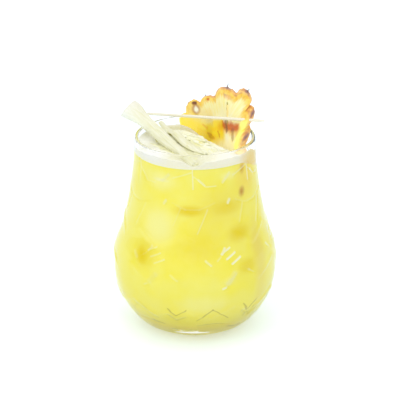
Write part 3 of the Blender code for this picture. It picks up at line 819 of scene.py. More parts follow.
def unroll(paint):
    """The place as arc length within one repeat of the pattern, and height."""
    x, y, z = paint.split(paint.place)
    from_middle = paint.maths("SUBTRACT", paint.maths("ARCTAN2", y, x), FRONT + FOLD_MIDDLE)
    folded = paint.maths("WRAP", paint.maths("DIVIDE", from_middle, REPEAT), 0.5, -0.5)
    return paint.join(paint.times(folded, REPEAT * UNROLLED_RADIUS), z)


def with_light_lines(paint, colour):
    flat, sideways = unroll(paint), paint.split(paint.place)[0]
    light = paint.rise(sideways, *LIGHT_CLEARS, LIGHT_LEAST)
    dark = paint.rise(sideways, *DARK_CLEARS, DARK_LEAST)
    for middle, half_turn, z0, z1, half_width, shine in CUTS:
        clearness, tint = (light, LIGHT_LINE) if shine > 0 else (dark, DARK_LINE)
        x0, x1 = [(middle - FOLD_MIDDLE + half) * UNROLLED_RADIUS for half in (-half_turn, half_turn)]
        stroke = paint.shared("stroke", flat, (x0, z0, 0), (x1, z1, 0), half_width)
        colour = paint.blend(paint.times(paint.times(stroke, abs(shine)), clearness), colour, tint)
    return colour


paint = Finish("cloudy_juice", {"Roughness": 0.4, "IOR": 1.34, "Specular IOR Level": 0.1})
colour = paint.clouded(26 * MM, 0.16, (254, 243, 80), (254, 246, 112))
pulp = paint.shared("clouding", paint.place, 6 * MM, 0.2)
colour = paint.blend(paint.times(pulp, 0.15), colour, (254, 250, 160))
paint.feed("Base Color", with_light_lines(paint, paint.spotted(colour, JUICE_TONES_AND_PAINTED_LIGHT)))

add_piece("juice", bm, paint.material, ["drink"], sharp_from=60)

# %% [markdown]
# ## The froth
#
# A ring of fine froth clings to the wall above the juice. Its foot dips just into the juice, so that no line
# of air shows between them, and its top is lumpy: the height of each vertex is nudged by two sizes of noise.

# %% Froth shape
FROTH_REACH = 0.35 * MM
FROTH_STEPS = 240
FROTH_RINGS = 16
FROTH_UNDER_ICE = 3 * MM
FROTH_SUNK = 0.25 * MM
FROTH_LUMPS = (millimetres(0.55, 5), millimetres(0.22, 1.6))  # height and size
CLING_FROM, CLING_TO, CLING_FADE = 46, 118, 26  # degrees from the front, to the right
CLING_HEIGHT, CLING_WIDTH = millimetres(6, 3)


def lumps(x, y, kinds):
    return sum(height * noise.noise(Vector((x, y, 0)) / size) for height, size in kinds)


def make_layer(inner, reach, bottom, top, rings, steps):
    """A ring, or a disc where inner is None, between two uneven surfaces, out to the wall or an edge."""
    bm = bmesh.new()
    lower_line = [(1 + i, 0) for i in range(rings + 1)]
    upper_line = [(1 + i, 1) for i in range(rings, -1, -1)]
    verts = draw_profile(bm, lower_line + upper_line, closed=inner is not None)
    if inner is None:
        verts[0].co.x = verts[-1].co.x = 0
    spin_round(bm, steps)
    for vert in bm.verts:
        angle = angle_of(vert)
        share = max(0.0, (vert.co.xy.length - 1) / rings)
        surface = top if vert.co.z > 0.5 else bottom
        x, y = polar(mix(inner(angle) if inner else 0.0, reach(surface, angle), share), angle)
        vert.co = (x, y, surface(x, y))
    bmesh.ops.recalc_face_normals(bm, faces=bm.faces)
    return bm


def cling(x, y):
    """Froth left high on the wall at the right, where the surface has slumped."""
    turn = math.degrees(math.atan2(y, x) - FRONT)
    round_wall = smoothstep((turn - CLING_FROM) / CLING_FADE) * smoothstep((CLING_TO - turn) / CLING_FADE)
    from_wall = math.hypot(x, y) - inner_radius(DRINK_LEVEL)
    return CLING_HEIGHT * round_wall * smoothstep(from_wall / CLING_WIDTH + 1)


bm = make_layer(
    inner=lambda angle: froth_edge(angle) - FROTH_UNDER_ICE,
    reach=lambda surface, angle: wall_meets(surface, angle, FROTH_REACH)[0],
    bottom=lambda x, y: drink_top(x, y) - FROTH_SUNK,
    top=lambda x, y: froth_top(x, y) + lumps(x, y, FROTH_LUMPS) + cling(x, y),
    rings=FROTH_RINGS,
    steps=FROTH_STEPS,
)

# %% [markdown]
# The froth's own tone is kept low, and its brightness is painted light: it is painted whitest at the left and
# along the wall, where its side, seen through the glass, lies in shade, and at the right the pineapple behind
# it tinges it with painted reflected light. Its bubbles are paler than the film between them.

# %% Froth finish
PAINTED_WALL_LIGHT_WIDTH, PAINTED_WALL_LIGHT_SHARE = 2 * MM, 0.85
# Painted light: white at the left and the right, and warm light reflected from the pineapple at the right.
FROTH_PAINTED_LIGHT = (
    (on_wall(-52, 118), (14, 22, 9), 0.9, (248, 248, 244)),
    (on_wall(-96, 118), (13, 14, 9), 0.8, (250, 250, 244)),
    (on_wall(36, 118), (13, 18, 9), 0.9, (252, 249, 232)),
    (on_wall(59, 115), (4, 9, 7), 0.6, (250, 222, 190)),
    (on_wall(78, 111), (13, 24, 14), 1.0, (248, 214, 70)),
)

paint = Finish("fine_froth", {"Roughness": 0.55, "Specular IOR Level": 0.3})
wall = RIM_RADIUS - RIM_WALL
radius = paint.measure("LENGTH", paint.vectors("MULTIPLY", paint.place, (1, 1, 0)))
# Painted light: the froth is made whiter along the wall, where its side, seen through the glass, is in shade.
painted_wall_light = paint.rise(radius, wall - PAINTED_WALL_LIGHT_WIDTH, wall, 0.0, PAINTED_WALL_LIGHT_SHARE)
colour = paint.clouded(12 * MM, 0.2, (226, 223, 180), (233, 231, 198))
colour = paint.spotted(paint.blend(painted_wall_light, colour, (252, 249, 230)), FROTH_PAINTED_LIGHT)
foam = paint.shared("bubbles", paint.place, 1.1 * MM)
paint.feed("Base Color", paint.blend(paint.times(foam, 0.3), colour, (254, 253, 242)))
paint.raise_surface(foam, 0.2 * MM, 0.4)

add_piece("froth_ring", bm, paint.material, ["froth"], sharp_from=60)

# %% [markdown]
# ## The crushed ice
#
# The heap is a wet slush with lumps of broken ice in it. The slush is a disc under everything, drawn out in
# long drifts along the crest. Each lump is the hull of a few random points, half melted into the slush and
# lying along the crest too. Lumps that would touch the stalk or the slice are left out, by asking the
# measured solids how near they are, and all are placed inside the froth's edge, away from the wall.

# %% Ice shapes
SLUSH_RINGS = 30
SLUSH_STEPS = 180
SLUSH_OVERLAP = 1.0 * MM
SLUSH_LUMPS = (millimetres(0.5, 5), millimetres(0.15, 1.4))
SLUSH_SUNK = 0.5 * MM
STREAK_HEIGHT, STREAK_LENGTH, STREAK_WIDTH = millimetres(0.9, 13, 2.6)
SHARD_COUNT = 110
SHARD_POINTS = 24
SHARD_SIZES = millimetres(1.4, 3.4)
SHARD_SUNK = 0.4  # share of its size
SHARD_ROOM = 1.6  # least distance to the garnish, times its size
SHARD_TURN, SHARD_TILT = 0.3, 0.4  # most, in radians, away from the crest and from level
SHARD_STRETCH = ((1.6, 2.6), (0.6, 1.0), (0.35, 0.5))  # least and most, along, across and up
SHARD_SEED = 5
GOLDEN_ANGLE = math.pi * (3 - math.sqrt(5))


def solid_tree(node):
    """The measured solid, ready to be asked for its nearest point."""
    bm = bmesh.new()
    bm.from_mesh(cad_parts[node].data)
    tree = BVHTree.FromBMesh(bm)
    bm.free()
    return tree


NEIGHBOURS = [solid_tree("stalk"), solid_tree("pineapple_slice")]


def room_at(point):
    """Distance from a point to the nearest garnish."""
    return min(tree.find_nearest(point)[3] for tree in NEIGHBOURS)


def streaks(x, y):
    """Long drifts of slush that run along the crest."""
    along, behind, _ = crest_place(x, y)
    return STREAK_HEIGHT * noise.noise(Vector((along / STREAK_LENGTH, behind / STREAK_WIDTH, 0)))


slush = make_layer(
    inner=None,
    reach=lambda surface, angle: froth_edge(angle) + SLUSH_OVERLAP,
    bottom=lambda x, y: drink_top(x, y) - FROTH_SUNK,
    top=lambda x, y: ice_top(x, y) - SLUSH_SUNK + streaks(x, y) + lumps(x, y, SLUSH_LUMPS),
    rings=SLUSH_RINGS,
    steps=SLUSH_STEPS,
)


def add_shard(bm, middle, size, rng):
    """One shard: the hull of random points in a flattened ball."""
    lie = math.atan2(*(CREST_END - CREST_START).yx) + rng.uniform(-SHARD_TURN, SHARD_TURN)
    tilt = rng.uniform(-SHARD_TILT, SHARD_TILT)
    turn = Matrix.Rotation(lie, 3, "Z") @ Matrix.Rotation(tilt, 3, "X")
    stretch = Vector([rng.uniform(*span) for span in SHARD_STRETCH])
    verts = []
    for _ in range(SHARD_POINTS):
        direction = Vector([rng.gauss(0, 1) for _ in range(3)]).normalized()
        verts.append(bm.verts.new(middle + turn @ (size * stretch * direction)))
    hull = bmesh.ops.convex_hull(bm, input=verts, use_existing_faces=False)
    spare = [item for item in hull["geom_interior"] if isinstance(item, bmesh.types.BMVert)]
    bmesh.ops.delete(bm, geom=spare, context="VERTS")


rng = random.Random(SHARD_SEED)
bm = bmesh.new()
kept = 0
for i in range(SHARD_COUNT):
    size = mix(*SHARD_SIZES, rng.random() ** 2)
    angle = i * GOLDEN_ANGLE + rng.uniform(-0.1, 0.1)
    x, y = polar((froth_edge(angle) + MM - 2 * size) * math.sqrt((i + 0.5) / SHARD_COUNT), angle)
    middle = Vector((x, y, ice_top(x, y) - SHARD_SUNK * size))
    if room_at(middle) > SHARD_ROOM * size:
        add_shard(bm, middle, size, rng)
        kept += 1
bmesh.ops.recalc_face_normals(bm, faces=bm.faces)
print("shards kept:", kept)

# %% Ice finishes
HEAP = FROTH_LEVEL / MM
SLUSH_SPOTS = (
    ((-25, 3, HEAP), (9, 9, 9), 0.8, (232, 228, 150)),
    ((3, -5, HEAP), (4, 5, 9), 0.6, (234, 224, 130)),
    ((17, -9, HEAP), (14, 8, 9), 0.7, (244, 242, 222)),
)

paint = Finish("wet_slush", {"Roughness": 0.3, "IOR": 1.33, "Coat Weight": 0.4, "Coat Roughness": 0.1})
colour = paint.clouded(9 * MM, 0.18, (240, 238, 190), (246, 245, 214))
paint.feed("Base Color", paint.spotted(colour, SLUSH_SPOTS))
paint.raise_surface(paint.shared("bubbles", paint.place, 2.2 * MM), 0.25 * MM, 0.4)

add_piece("slush", slush, paint.material, ["crushed_ice"], sharp_from=60)

paint = Finish("broken_ice", {"IOR": 1.31})
frost = paint.shared("clouding", paint.place, 4 * MM, 0.2)
paint.feed("Base Color", paint.blend(frost, (240, 239, 200), (246, 246, 224)))
paint.feed("Roughness", paint.rise(frost, 0.0, 1.0, 0.06, 0.3))

add_piece("ice_shards", bm, paint.material, sharp_from=50)

# %% [markdown]
# ## The pineapple slice
#
# Half a wheel of pineapple is slit up from its core and pushed over the rim. One flap hangs outside behind
# the glass, the other inside, where it has twisted round towards the drinker. The flat slice comes first: a
# section through flesh and rind is spun about the core, and the rind is pushed out at each eye. The flat
# shape is then bent to its place by the same rule as the measured solid's.

# %% Outline and twist of the slice
SLICE_RADIUS = 36.6 * MM
SLICE_HALF = 3.2 * MM  # half of its thickness
RIND_THICKNESS = 3.2 * MM
CORE_HEIGHT = GLASS_HEIGHT - 19 * MM
SLIT_DIRECTION = math.radians(56)
SLIT_PLACE = polar(RIM_RADIUS - RIM_WALL / 2, SLIT_DIRECTION)
CUT_LEFT, CUT_RIGHT = math.radians(172), math.radians(-23)
CUT_SLACK = math.radians(5)
VALLEY_RADIUS = 32.8 * MM
EYE_LEAN = math.radians(4)
HEADING_TOP, HEADING_LOW = math.radians(42), math.radians(76)
TWIST_FROM, TWIST_TO = 0.97, 0.20
TWIST_WIDTH = 5 * MM
# Each eye of the rind: its middle and half width in degrees, and its reach from the core in mm.
EYES = (
    (-14, 12, 37.0), (7, 12, 37.6), (29, 11, 37.8), (49, 12, 39.4), (68, 11, 43.2), (90, 16, 38.9),
    (121, 9, 34.4), (146, 13, 38.2), (167, 12, 39.6),
)


def heading(across, above):
    """Plan direction of the slice. Below its top the inner flap twists to the drinker."""
    drop = held((TWIST_FROM - above / SLICE_RADIUS) / (TWIST_FROM - TWIST_TO))
    side = smoothstep(across / TWIST_WIDTH + 0.5)
    return mix(HEADING_TOP, HEADING_LOW, (1 - (1 - drop) ** 2) * side)


def bend(across, above, outwards):
    """From the flat slice to its place on the rim: across it, up from its core, and out of its face."""
    turn = heading(across, above)
    x = SLIT_PLACE[0] + across * math.cos(turn) - outwards * math.sin(turn)
    y = SLIT_PLACE[1] - across * math.sin(turn) - outwards * math.cos(turn)
    return Vector((x, y, CORE_HEIGHT + above))


def eye_offset(angle, depth, eye):
    """How far an angle is from an eye's middle, as a share of its half width."""
    middle, half_width, _ = eye
    return (angle - math.radians(middle) + EYE_LEAN * depth) / math.radians(half_width)


def rind_radius(angle, depth):
    """Out to the rind, which bulges at each eye. The depth is -1 at the slice's back and 1 at its front."""
    radius = VALLEY_RADIUS
    for eye in EYES:
        offset = eye_offset(angle, depth, eye)
        if abs(offset) < 1:
            radius = max(radius, mix(VALLEY_RADIUS, eye[2] * MM, math.sqrt(1 - offset**2)))
    return radius


def angle_from_right(vert):
    angle = angle_of(vert)
    return angle if angle > CUT_RIGHT - CUT_SLACK else angle + math.tau


# %% [markdown]
# The section is a strip of quads rather than one outline, so that the straight cut has faces of an even size.
# Each corner keeps where it lies in the flat slice, as two attributes: how far round, how far out towards the
# rind and how near the middle of an eye, and then its plain place. The finish reads those, so its fibres fan
# out from the core, its gold follows the rind and its marks stay put however the slice is bent.

# %% Slice shape
SLICE_STEPS = 300
FLESH_RINGS, RIND_RINGS = 34, 9
FIBRE_HEIGHT, FIBRE_SPACING, FIBRE_LENGTH = millimetres(0.22, 1.1, 9)
SMOOTH_CORE = 0.3 * SLICE_RADIUS
RIND_BULGE = 1.1  # times its thickness
RIND_FULLNESS = 0.6  # under 1, so that its edges are tight
RIND_ROUGHNESS, RIND_GRAIN = millimetres(0.6, 1.6)
RIND_FROM, RIND_FADE = 0.93, 0.05  # shares of the way out
FACE_DEPTH = 0.9
PLACE_NAME, FLAT_NAME = "slice_place", "slice_flat"


def slice_section():
    """Radius and half thickness from the core out to the rind's edge."""
    edge = SLICE_RADIUS - RIND_THICKNESS
    bulge = RIND_BULGE * RIND_THICKNESS
    turns = even_parts(math.pi / 2, RIND_RINGS)[:-1]
    flesh = [(radius, SLICE_HALF) for radius in even_parts(edge, FLESH_RINGS)[:-1]]
    return flesh + [(edge + bulge * math.sin(t), SLICE_HALF * math.cos(t) ** RIND_FULLNESS) for t in turns]


def spin_slice():
    bm = bmesh.new()
    turn = Matrix.Rotation(CUT_RIGHT, 3, "Z")
    pairs = [
        [bm.verts.new(turn @ Vector((radius, 0, side * half))) for side in (1, -1)]
        for radius, half in slice_section()
    ]
    tip = bm.verts.new(turn @ Vector((SLICE_RADIUS + (RIND_BULGE - 1) * RIND_THICKNESS, 0, 0)))
    for (front, back), (next_front, next_back) in zip(pairs, pairs[1:]):
        bm.faces.new((front, next_front, next_back, back))
    bm.faces.new((pairs[-1][0], tip, pairs[-1][1]))
    spin_round(bm, SLICE_STEPS, CUT_LEFT - CUT_RIGHT)
    return bm


def slice_relief(angle, radius, reach, depth):
    """Long fibres stand a little proud of the flesh, and the rind is rough."""
    across = Vector((angle * radius / FIBRE_SPACING, radius / FIBRE_LENGTH, depth))
    grain = Vector((angle * SLICE_RADIUS, radius, depth * SLICE_HALF)) / RIND_GRAIN
    proud = FIBRE_HEIGHT * noise.noise(across) * smoothstep(radius / SMOOTH_CORE)
    rind = smoothstep((radius / reach - RIND_FROM) / RIND_FADE)
    return mix(proud, 0, rind), RIND_ROUGHNESS * noise.noise(grain) * rind


bm = spin_slice()
place = bm.loops.layers.float_vector.new(PLACE_NAME)
flat_place = bm.loops.layers.float_vector.new(FLAT_NAME)
flat = {}
for vert in bm.verts:
    radius, depth = vert.co.xy.length, vert.co.z / SLICE_HALF
    angle = angle_from_right(vert) if radius > 1e-5 else math.pi / 2
    reach = rind_radius(angle, depth)
    radius *= mix(1, reach / SLICE_RADIUS, smoothstep(2.5 * (radius / SLICE_RADIUS - 0.5)))
    nearness = max(1 - min(abs(eye_offset(angle, depth, eye)), 1) for eye in EYES)
    proud, out = slice_relief(angle, radius, reach, depth)
    x, y = polar(radius + out, angle)
    flat[vert] = ((angle * SLICE_RADIUS, radius / reach, nearness), (x, y, vert.co.z))
    vert.co = bend(x, y, vert.co.z + math.copysign(proud, depth) * (abs(depth) > FACE_DEPTH))
for face in bm.faces:
    for loop in face.loops:
        loop[place], loop[flat_place] = flat[loop.vert]

# %% Slit the slice
SLIT_TURN = math.radians(4)  # away from the camera's view, so that the slit shows its own side
SLIT_WIDTH = 0.6 * MM
SLIT_LOW, SLIT_TOP = GLASS_HEIGHT + 4 * MM, CORE_HEIGHT + 30.0 * MM
BLADE_LENGTH = 12 * SLICE_HALF


def slit_shape():
    """A blade as wide as the slit, up to the slit's top. Lower down the flaps have closed on the glass."""
    bm = bmesh.new()
    bmesh.ops.create_cube(bm, size=1)
    bmesh.ops.scale(bm, vec=(SLIT_WIDTH, BLADE_LENGTH, SLIT_TOP - SLIT_LOW), verts=bm.verts)
    x, y = SLIT_PLACE
    middle = Vector((x, y - SLICE_HALF / math.cos(HEADING_TOP), (SLIT_TOP + SLIT_LOW) / 2))
    turn = Matrix.Rotation(SLIT_TURN, 4, "Z")
    bmesh.ops.transform(bm, matrix=Matrix.Translation(middle) @ turn, verts=bm.verts)
    return bm


def cut_away(bm, tool):
    """Cuts the tool's shape out of the mesh, and removes what was only needed for that."""
    body, blade = make_object("scratch", bm), make_object("scratch", tool)
    modifier = body.modifiers.new("cut", "BOOLEAN")
    modifier.object = blade
    mesh = bpy.data.meshes.new_from_object(body.evaluated_get(bpy.context.evaluated_depsgraph_get()))
    result = bmesh.new()
    result.from_mesh(mesh)
    for spare in (mesh, body.data, blade.data):
        bpy.data.meshes.remove(spare)  # the object that shows it goes with it
    return result


bm = cut_away(bm, slit_shape())

# %% Slice finish
FLESH_PAINTED_GLOW = 0.2  # painted glow that lifts the flesh's shade, most of it low down, where the ice shades it
PAINTED_GLOW_HIGH, PAINTED_GLOW_LOW, PAINTED_GLOW_LEAST = 22 * MM, 10 * MM, 0.25
GOLD, YOLK, OCHRE, STRAW = (246, 206, 74), (248, 220, 48), (226, 168, 40), (170, 156, 60)
BRONZE, DARK_BROWN = (206, 98, 0), (120, 62, 34)
PLUM, SALMON, CREAM = (150, 116, 122), (234, 152, 108), (248, 236, 184)
MARK_UNEVENNESS, EYE_UNEVENNESS = millimetres(4, 1.2)
# Marks on the slice's near face, each a soft stroke: its two ends across and above the core and its half
# width in mm, its strength and its colour.
SLICE_MARKS = (
    # Painted shade over the flesh's own streaks: low on the left, where the ice shades the flesh and it is
    # seen through the back wall, it is painted a deeper gold with darker streaks.
    (-28, 17, -21, 26, 7, 0.5, GOLD),
    (-24, 17, -12, 20, 6, 0.35, GOLD),
    (-39, 8, 0, 9, 11, 1.0, YOLK),
    (-6, 15, 0, 16, 5, 0.9, YOLK),
    (-20, 6, -6, 4, 5, 0.8, (238, 204, 20)),
    (-14, 8, 3, 16, 2.5, 0.5, (238, 200, 20)),
    (-12, 7, -9, 5, 1.8, 0.7, (206, 152, 24)),
    (-4, 10, -3, 8, 1.4, 0.7, (200, 144, 24)),
    (-17, 12, -14, 11, 1.5, 0.5, (216, 162, 24)),
    (1, -4, 34, 4, 14, 1.0, CREAM),
    (27, 24, 31, 12, 4.2, 1.0, (255, 252, 126)),
    # Painted shade: the flesh above the core, where the slit straddles the rim, is painted orange and brown,
    # and the slit's side is painted as an olive line.
    (-1, 14, 24, 19.5, 5.4, 0.7, (230, 172, 20)),
    (2, 16.2, 22, 20.5, 3.8, 1.0, BRONZE),
    (6, 19.5, 10, 15, 3.0, 0.7, DARK_BROWN),
    (19, 18, 23, 14, 3.0, 0.5, DARK_BROWN),
    (4.3, 31, 9, 19, 1.3, 0.9, STRAW),
    (-14, 30, -13, 30, 1.6, 0.9, BRONZE),
    (1, 35.5, 1, 35.5, 1.8, 0.7, (178, 168, 120)),
    (1, 35, 5, 34.5, 2.6, 0.4, SALMON),
    (4, 38.5, 9, 38, 2.0, 0.7, OCHRE),
    (17, 41, 22, 40, 1.8, 0.9, DARK_BROWN),
    (26, 35, 26.6, 33, 2.0, 0.85, PLUM),
    (27.2, 31.5, 27.8, 30.5, 2.0, 0.8, SALMON),
    (32, 26, 35, 26, 2.6, 0.9, BRONZE),
    (35.5, 23.5, 36.5, 21, 2.4, 0.9, PLUM),
    (38.5, 19.5, 39.5, 17.5, 2.2, 0.8, SALMON),
)
EYE_MARKS = (  # an eye that the knife has opened on the left
    (-23.2, 20.6, -22.8, 21.4, 4.6, 1.0, (176, 106, 16)),
    (-22.9, 20.6, -22.6, 21, 2.9, 1.0, (255, 250, 220)),
    (-25.5, 24.2, -23, 24.8, 1.6, 0.95, DARK_BROWN),
)


def with_marks(paint, colour, place, marks, unevenness):
    """Paints the strokes, their places shifted a little by noise so that their edges are uneven."""
    face = SLICE_HALF / MM
    grain = paint.grain(place, 260.0)["Color"]
    shift = paint.vectors("MULTIPLY_ADD", grain, (unevenness,) * 3, (-unevenness / 2,) * 3)
    place = paint.vectors("ADD", place, shift)
    for x0, y0, x1, y1, half_width, strength, tint in marks:
        start, end = millimetres(x0, y0, face), millimetres(x1, y1, face)
        stroke = paint.shared("stroke", place, start, end, half_width * MM)
        colour = paint.blend(paint.times(stroke, strength), colour, tint)
    return colour


constants = {"Roughness": 0.4, "IOR": 1.38, "Coat Weight": 0.15, "Coat Roughness": 0.2}
paint = Finish("pineapple_flesh_and_rind", {**constants, "Emission Strength": FLESH_PAINTED_GLOW})
round_place = paint.add("Attribute", attribute_name=PLACE_NAME).outputs["Vector"]
flat_place = paint.add("Attribute", attribute_name=FLAT_NAME).outputs["Vector"]
angle, out, eye = paint.split(round_place)
_, above, forward = paint.split(flat_place)
depth = paint.maths("ABSOLUTE", forward)
radial = paint.join(paint.times(out, SLICE_RADIUS), angle)
strands = paint.shared("fibres", radial, 1.3 * MM, 11 * MM)
blotches = paint.shared("clouding", flat_place, 3 * MM, 0.16)
specks = paint.shared("bubbles", flat_place, 2.4 * MM)

flesh = paint.blend(strands, (250, 244, 194), (248, 236, 150))
flesh = paint.blend(paint.rise(out, 0.4, 0.8), (250, 248, 218), flesh)
gold = paint.blend(blotches, (236, 190, 66), (248, 218, 108))
ragged = paint.maths("ADD", out, paint.times(strands, 0.06))
flesh = paint.blend(paint.rise(ragged, 0.88, 0.98), flesh, gold)

bark = paint.blend(blotches, (222, 154, 70), (248, 206, 116))
bark = paint.blend(paint.times(specks, 0.5), bark, (182, 122, 100))
dry = paint.times(paint.rise(eye, 0.6, 0.95), paint.rise(depth, 2.4 * MM, 0.8 * MM))
bark = paint.blend(dry, bark, (156, 112, 104))
edge = paint.rise(paint.maths("ADD", out, paint.times(blotches, 0.01)), 0.985, 1.0)
edge = paint.times(edge, paint.rise(depth, 2.9 * MM, 2.0 * MM))

colour = paint.blend(edge, flesh, bark)
colour = with_marks(paint, colour, flat_place, SLICE_MARKS, MARK_UNEVENNESS)
colour = with_marks(paint, colour, flat_place, EYE_MARKS, EYE_UNEVENNESS)
paint.feed("Base Color", colour)
# Painted glow: the flesh's colour is added as light, most of all low down, to lift its shade.
low = paint.rise(above, PAINTED_GLOW_HIGH, PAINTED_GLOW_LOW, PAINTED_GLOW_LEAST)
paint.feed("Emission Color", paint.blend(low, (0, 0, 0), colour))
paint.raise_surface(strands, 0.2 * MM, 0.5)

add_piece("pineapple", bm, paint.material, ["pineapple_slice"], sharp_from=35)

# %% [markdown]
# A dry spine is left at the middle of each eye, longest on the two eyes at the top.

# %% Spines on the rind
SPINE_LENGTHS = (1.2, 1.4, 1.2, 1.6, 3.4, 3.6, 1.6, 1.4, 1.8)  # mm, one for each eye
SPINE_RADIUS, SPINE_TIP, SPINE_ROOT = millimetres(0.55, 0.03, 0.8)
SPINE_SIDES, SPINE_RINGS = 8, 6
SPINE_CURL = 0.35
SPINE_FULLNESS = 0.8


def add_spine(bm, angle, reach, length):
    """A thin curled cone that stands on the rind."""
    out = Vector(polar(1, angle))
    round_way = Vector((-out.y, out.x))
    rings = []
    for share in even_parts(1, SPINE_RINGS):
        along = reach - SPINE_ROOT + (length + SPINE_ROOT) * share
        radius = SPINE_RADIUS * (1 - share) ** SPINE_FULLNESS + SPINE_TIP
        ring = []
        for turn in even_parts(math.tau, SPINE_SIDES)[:-1]:
            side = SPINE_CURL * length * share**2 + radius * math.cos(turn)
            flat = out * along - round_way * side
            ring.append(bm.verts.new(bend(flat.x, flat.y, radius * math.sin(turn))))
        rings.append(ring)
    for lower, upper in zip(rings, rings[1:]):
        for j in range(SPINE_SIDES):
            bm.faces.new((lower[j], lower[j - 1], upper[j - 1], upper[j]))
    bm.faces.new(rings[0])
    bm.faces.new(rings[-1])


bm = bmesh.new()
for (middle, _, reach), length in zip(EYES, SPINE_LENGTHS):
    add_spine(bm, math.radians(middle), reach * MM, length * MM)
bmesh.ops.recalc_face_normals(bm, faces=bm.faces)

paint = Finish("dry_spine", {"Roughness": 0.7, "Specular IOR Level": 0.3})
paint.feed("Base Color", paint.clouded(1.5 * MM, 0.2, (120, 104, 92), (168, 150, 132)))

add_piece("spines", bm, paint.material)

# %% [markdown]
# ## The stalk
#
# A short pale stalk lies across the top, its flared and cut end outside the rim. It is a bundle of sheaths
# wrapped round each other, like a leek's. A straight stalk is spun with a ringed cut end, given ribs and the
# edges of its sheaths, and then laid along its slightly drooping axis.

# %% Stalk shape
STALK_OVERHANG = 0.29  # outside the rim, as a share of what is inside
STALK_BOW = 1.6 * MM
STALK_RADII = [
    (share, size * MM) for share, size in ((0, 6.4), (0.10, 6), (0.23, 4.3), (0.55, 3.5), (1, 2.4))
]
STALK_STEPS, STALK_RINGS = 120, 150
STALK_WOBBLE = 0.25 * MM
TIP_RINGS = (0.8, 0.4, 0.0)
SHEATH_COUNT = 3
SHEATH_EDGE = 0.45 * MM
SHEATH_TWIST = 2.2  # radians from end to end
OVERLAP_WIDTH, OVERLAP_FALL, OVERLAP_SUNK = 0.08, 1.3, 0.35
RIB_COUNT, RIB_HEIGHT = 34, 0.07 * MM
CUT_FADE = 0.2
CUT_RINGS = 22
CUT_GROOVES, CUT_GROOVE_DEPTH, CUT_GROOVE_WAVE = 4, 0.5 * MM, 0.06
CUT_HOLLOW = 1.2 * MM
CUT_EDGE = 0.98  # share of the radius beyond which the cut has no groove

stalk_start = STALK_OVER_RIM - (STALK_INNER_END - STALK_OVER_RIM) * STALK_OVERHANG
stalk_length = (STALK_INNER_END - stalk_start).length
stalk_axis = (STALK_INNER_END - stalk_start).normalized()
stalk_side = stalk_axis.cross(Vector((0, 0, 1))).normalized()
stalk_up = stalk_side.cross(stalk_axis)
rim_share = STALK_OVERHANG / (1 + STALK_OVERHANG)


def on_stalk(share, across, upwards):
    place = stalk_start.lerp(STALK_INNER_END, share) + stalk_side * across + stalk_up * upwards
    place.z -= STALK_BOW * max(0.0, 1 - share / rim_share) ** 2
    return place


def sheath_step(angle, share):
    """Each sheath stands out where it overlaps the next, and sinks again round to its other edge."""
    turn = (angle + SHEATH_TWIST * share) / math.tau * SHEATH_COUNT
    along = turn - math.floor(turn)
    return SHEATH_EDGE * (smoothstep(along / OVERLAP_WIDTH) * (1 - along) ** OVERLAP_FALL - OVERLAP_SUNK)


def cut_slant():
    """How far the cut leans, so that it lies along the camera's view and its face isn't seen."""
    across = stalk_axis - to_camera * stalk_axis.dot(to_camera)
    return [-way.dot(across) / stalk_axis.dot(across) for way in (stalk_side, stalk_up)]


def hollow_at(outness, angle):
    """The cut end is a little hollow, with grooves between the layers of the sheaths."""
    ring = math.cos(math.tau * CUT_GROOVES * (outness + CUT_GROOVE_WAVE * math.sin(angle + 4 * outness)))
    return CUT_HOLLOW * (1 - outness**2) + CUT_GROOVE_DEPTH * (1 + ring) / 2 * (outness < CUT_EDGE)


cut = [(radius, 0) for radius in even_parts(STALK_RADII[0][1], CUT_RINGS)[:-1]]
body = [(through(STALK_RADII, share), share) for share in even_parts(1, STALK_RINGS)]
tip = [(STALK_RADII[-1][1] * share, 1.0) for share in TIP_RINGS]
bm = bmesh.new()
draw_profile(bm, cut + body + tip)
spin_round(bm, STALK_STEPS)
slant = cut_slant()
for vert in bm.verts:
    angle, radius, share = angle_of(vert), vert.co.xy.length, vert.co.z
    outness = min(radius / through(STALK_RADII, share), 1.0)
    wobble = STALK_WOBBLE * noise.noise(Vector((*polar(1, angle), share * 5)))
    ribs = RIB_HEIGHT * math.cos(RIB_COUNT * angle + 3 * noise.noise(Vector((share * 6, angle, 0))))
    radius += outness * (sheath_step(angle, share) + ribs + wobble)
    along = share if share >= 1e-6 else hollow_at(outness, angle) / stalk_length
    across, upwards = polar(radius, angle)
    shift = (slant[0] * across + slant[1] * upwards) / stalk_length * smoothstep(1 - share / CUT_FADE)
    vert.co = on_stalk(along + shift, across, upwards)
bmesh.ops.recalc_face_normals(bm, faces=bm.faces)

# %% Stalk finish
paint = Finish("pale_stalk", {"Roughness": 0.45, "IOR": 1.4, "Coat Weight": 0.1, "Coat Roughness": 0.3})
turn = (STALK_INNER_END - stalk_start).to_track_quat("X", "Z").inverted().to_euler()
laid = paint.add("Mapping", {"Vector": paint.place, "Rotation": turn}, vector_type="POINT").outputs[0]
strands = paint.shared("fibres", laid, 0.9 * MM, 16 * MM)
colour = paint.blend(strands, (240, 239, 212), (228, 226, 176))
clouds = paint.shared("clouding", paint.place, 14 * MM, 0.2)
colour = paint.blend(paint.times(clouds, 0.5), colour, (241, 241, 224))
white_end = (stalk_start / MM, (24, 24, 24), 0.7, (240, 239, 230))
paint.feed("Base Color", paint.spotted(colour, [white_end]))
paint.raise_surface(strands, 0.15 * MM, 0.5)

stalk_finish = paint.material
add_piece("stalk_of_sheaths", bm, stalk_finish, ["stalk"], sharp_from=45)

# %% [markdown]
# One sheath has come off. It leans on the wall at the back left and lies on the ice beside the stalk, as a
# long strip that is a little arched across.

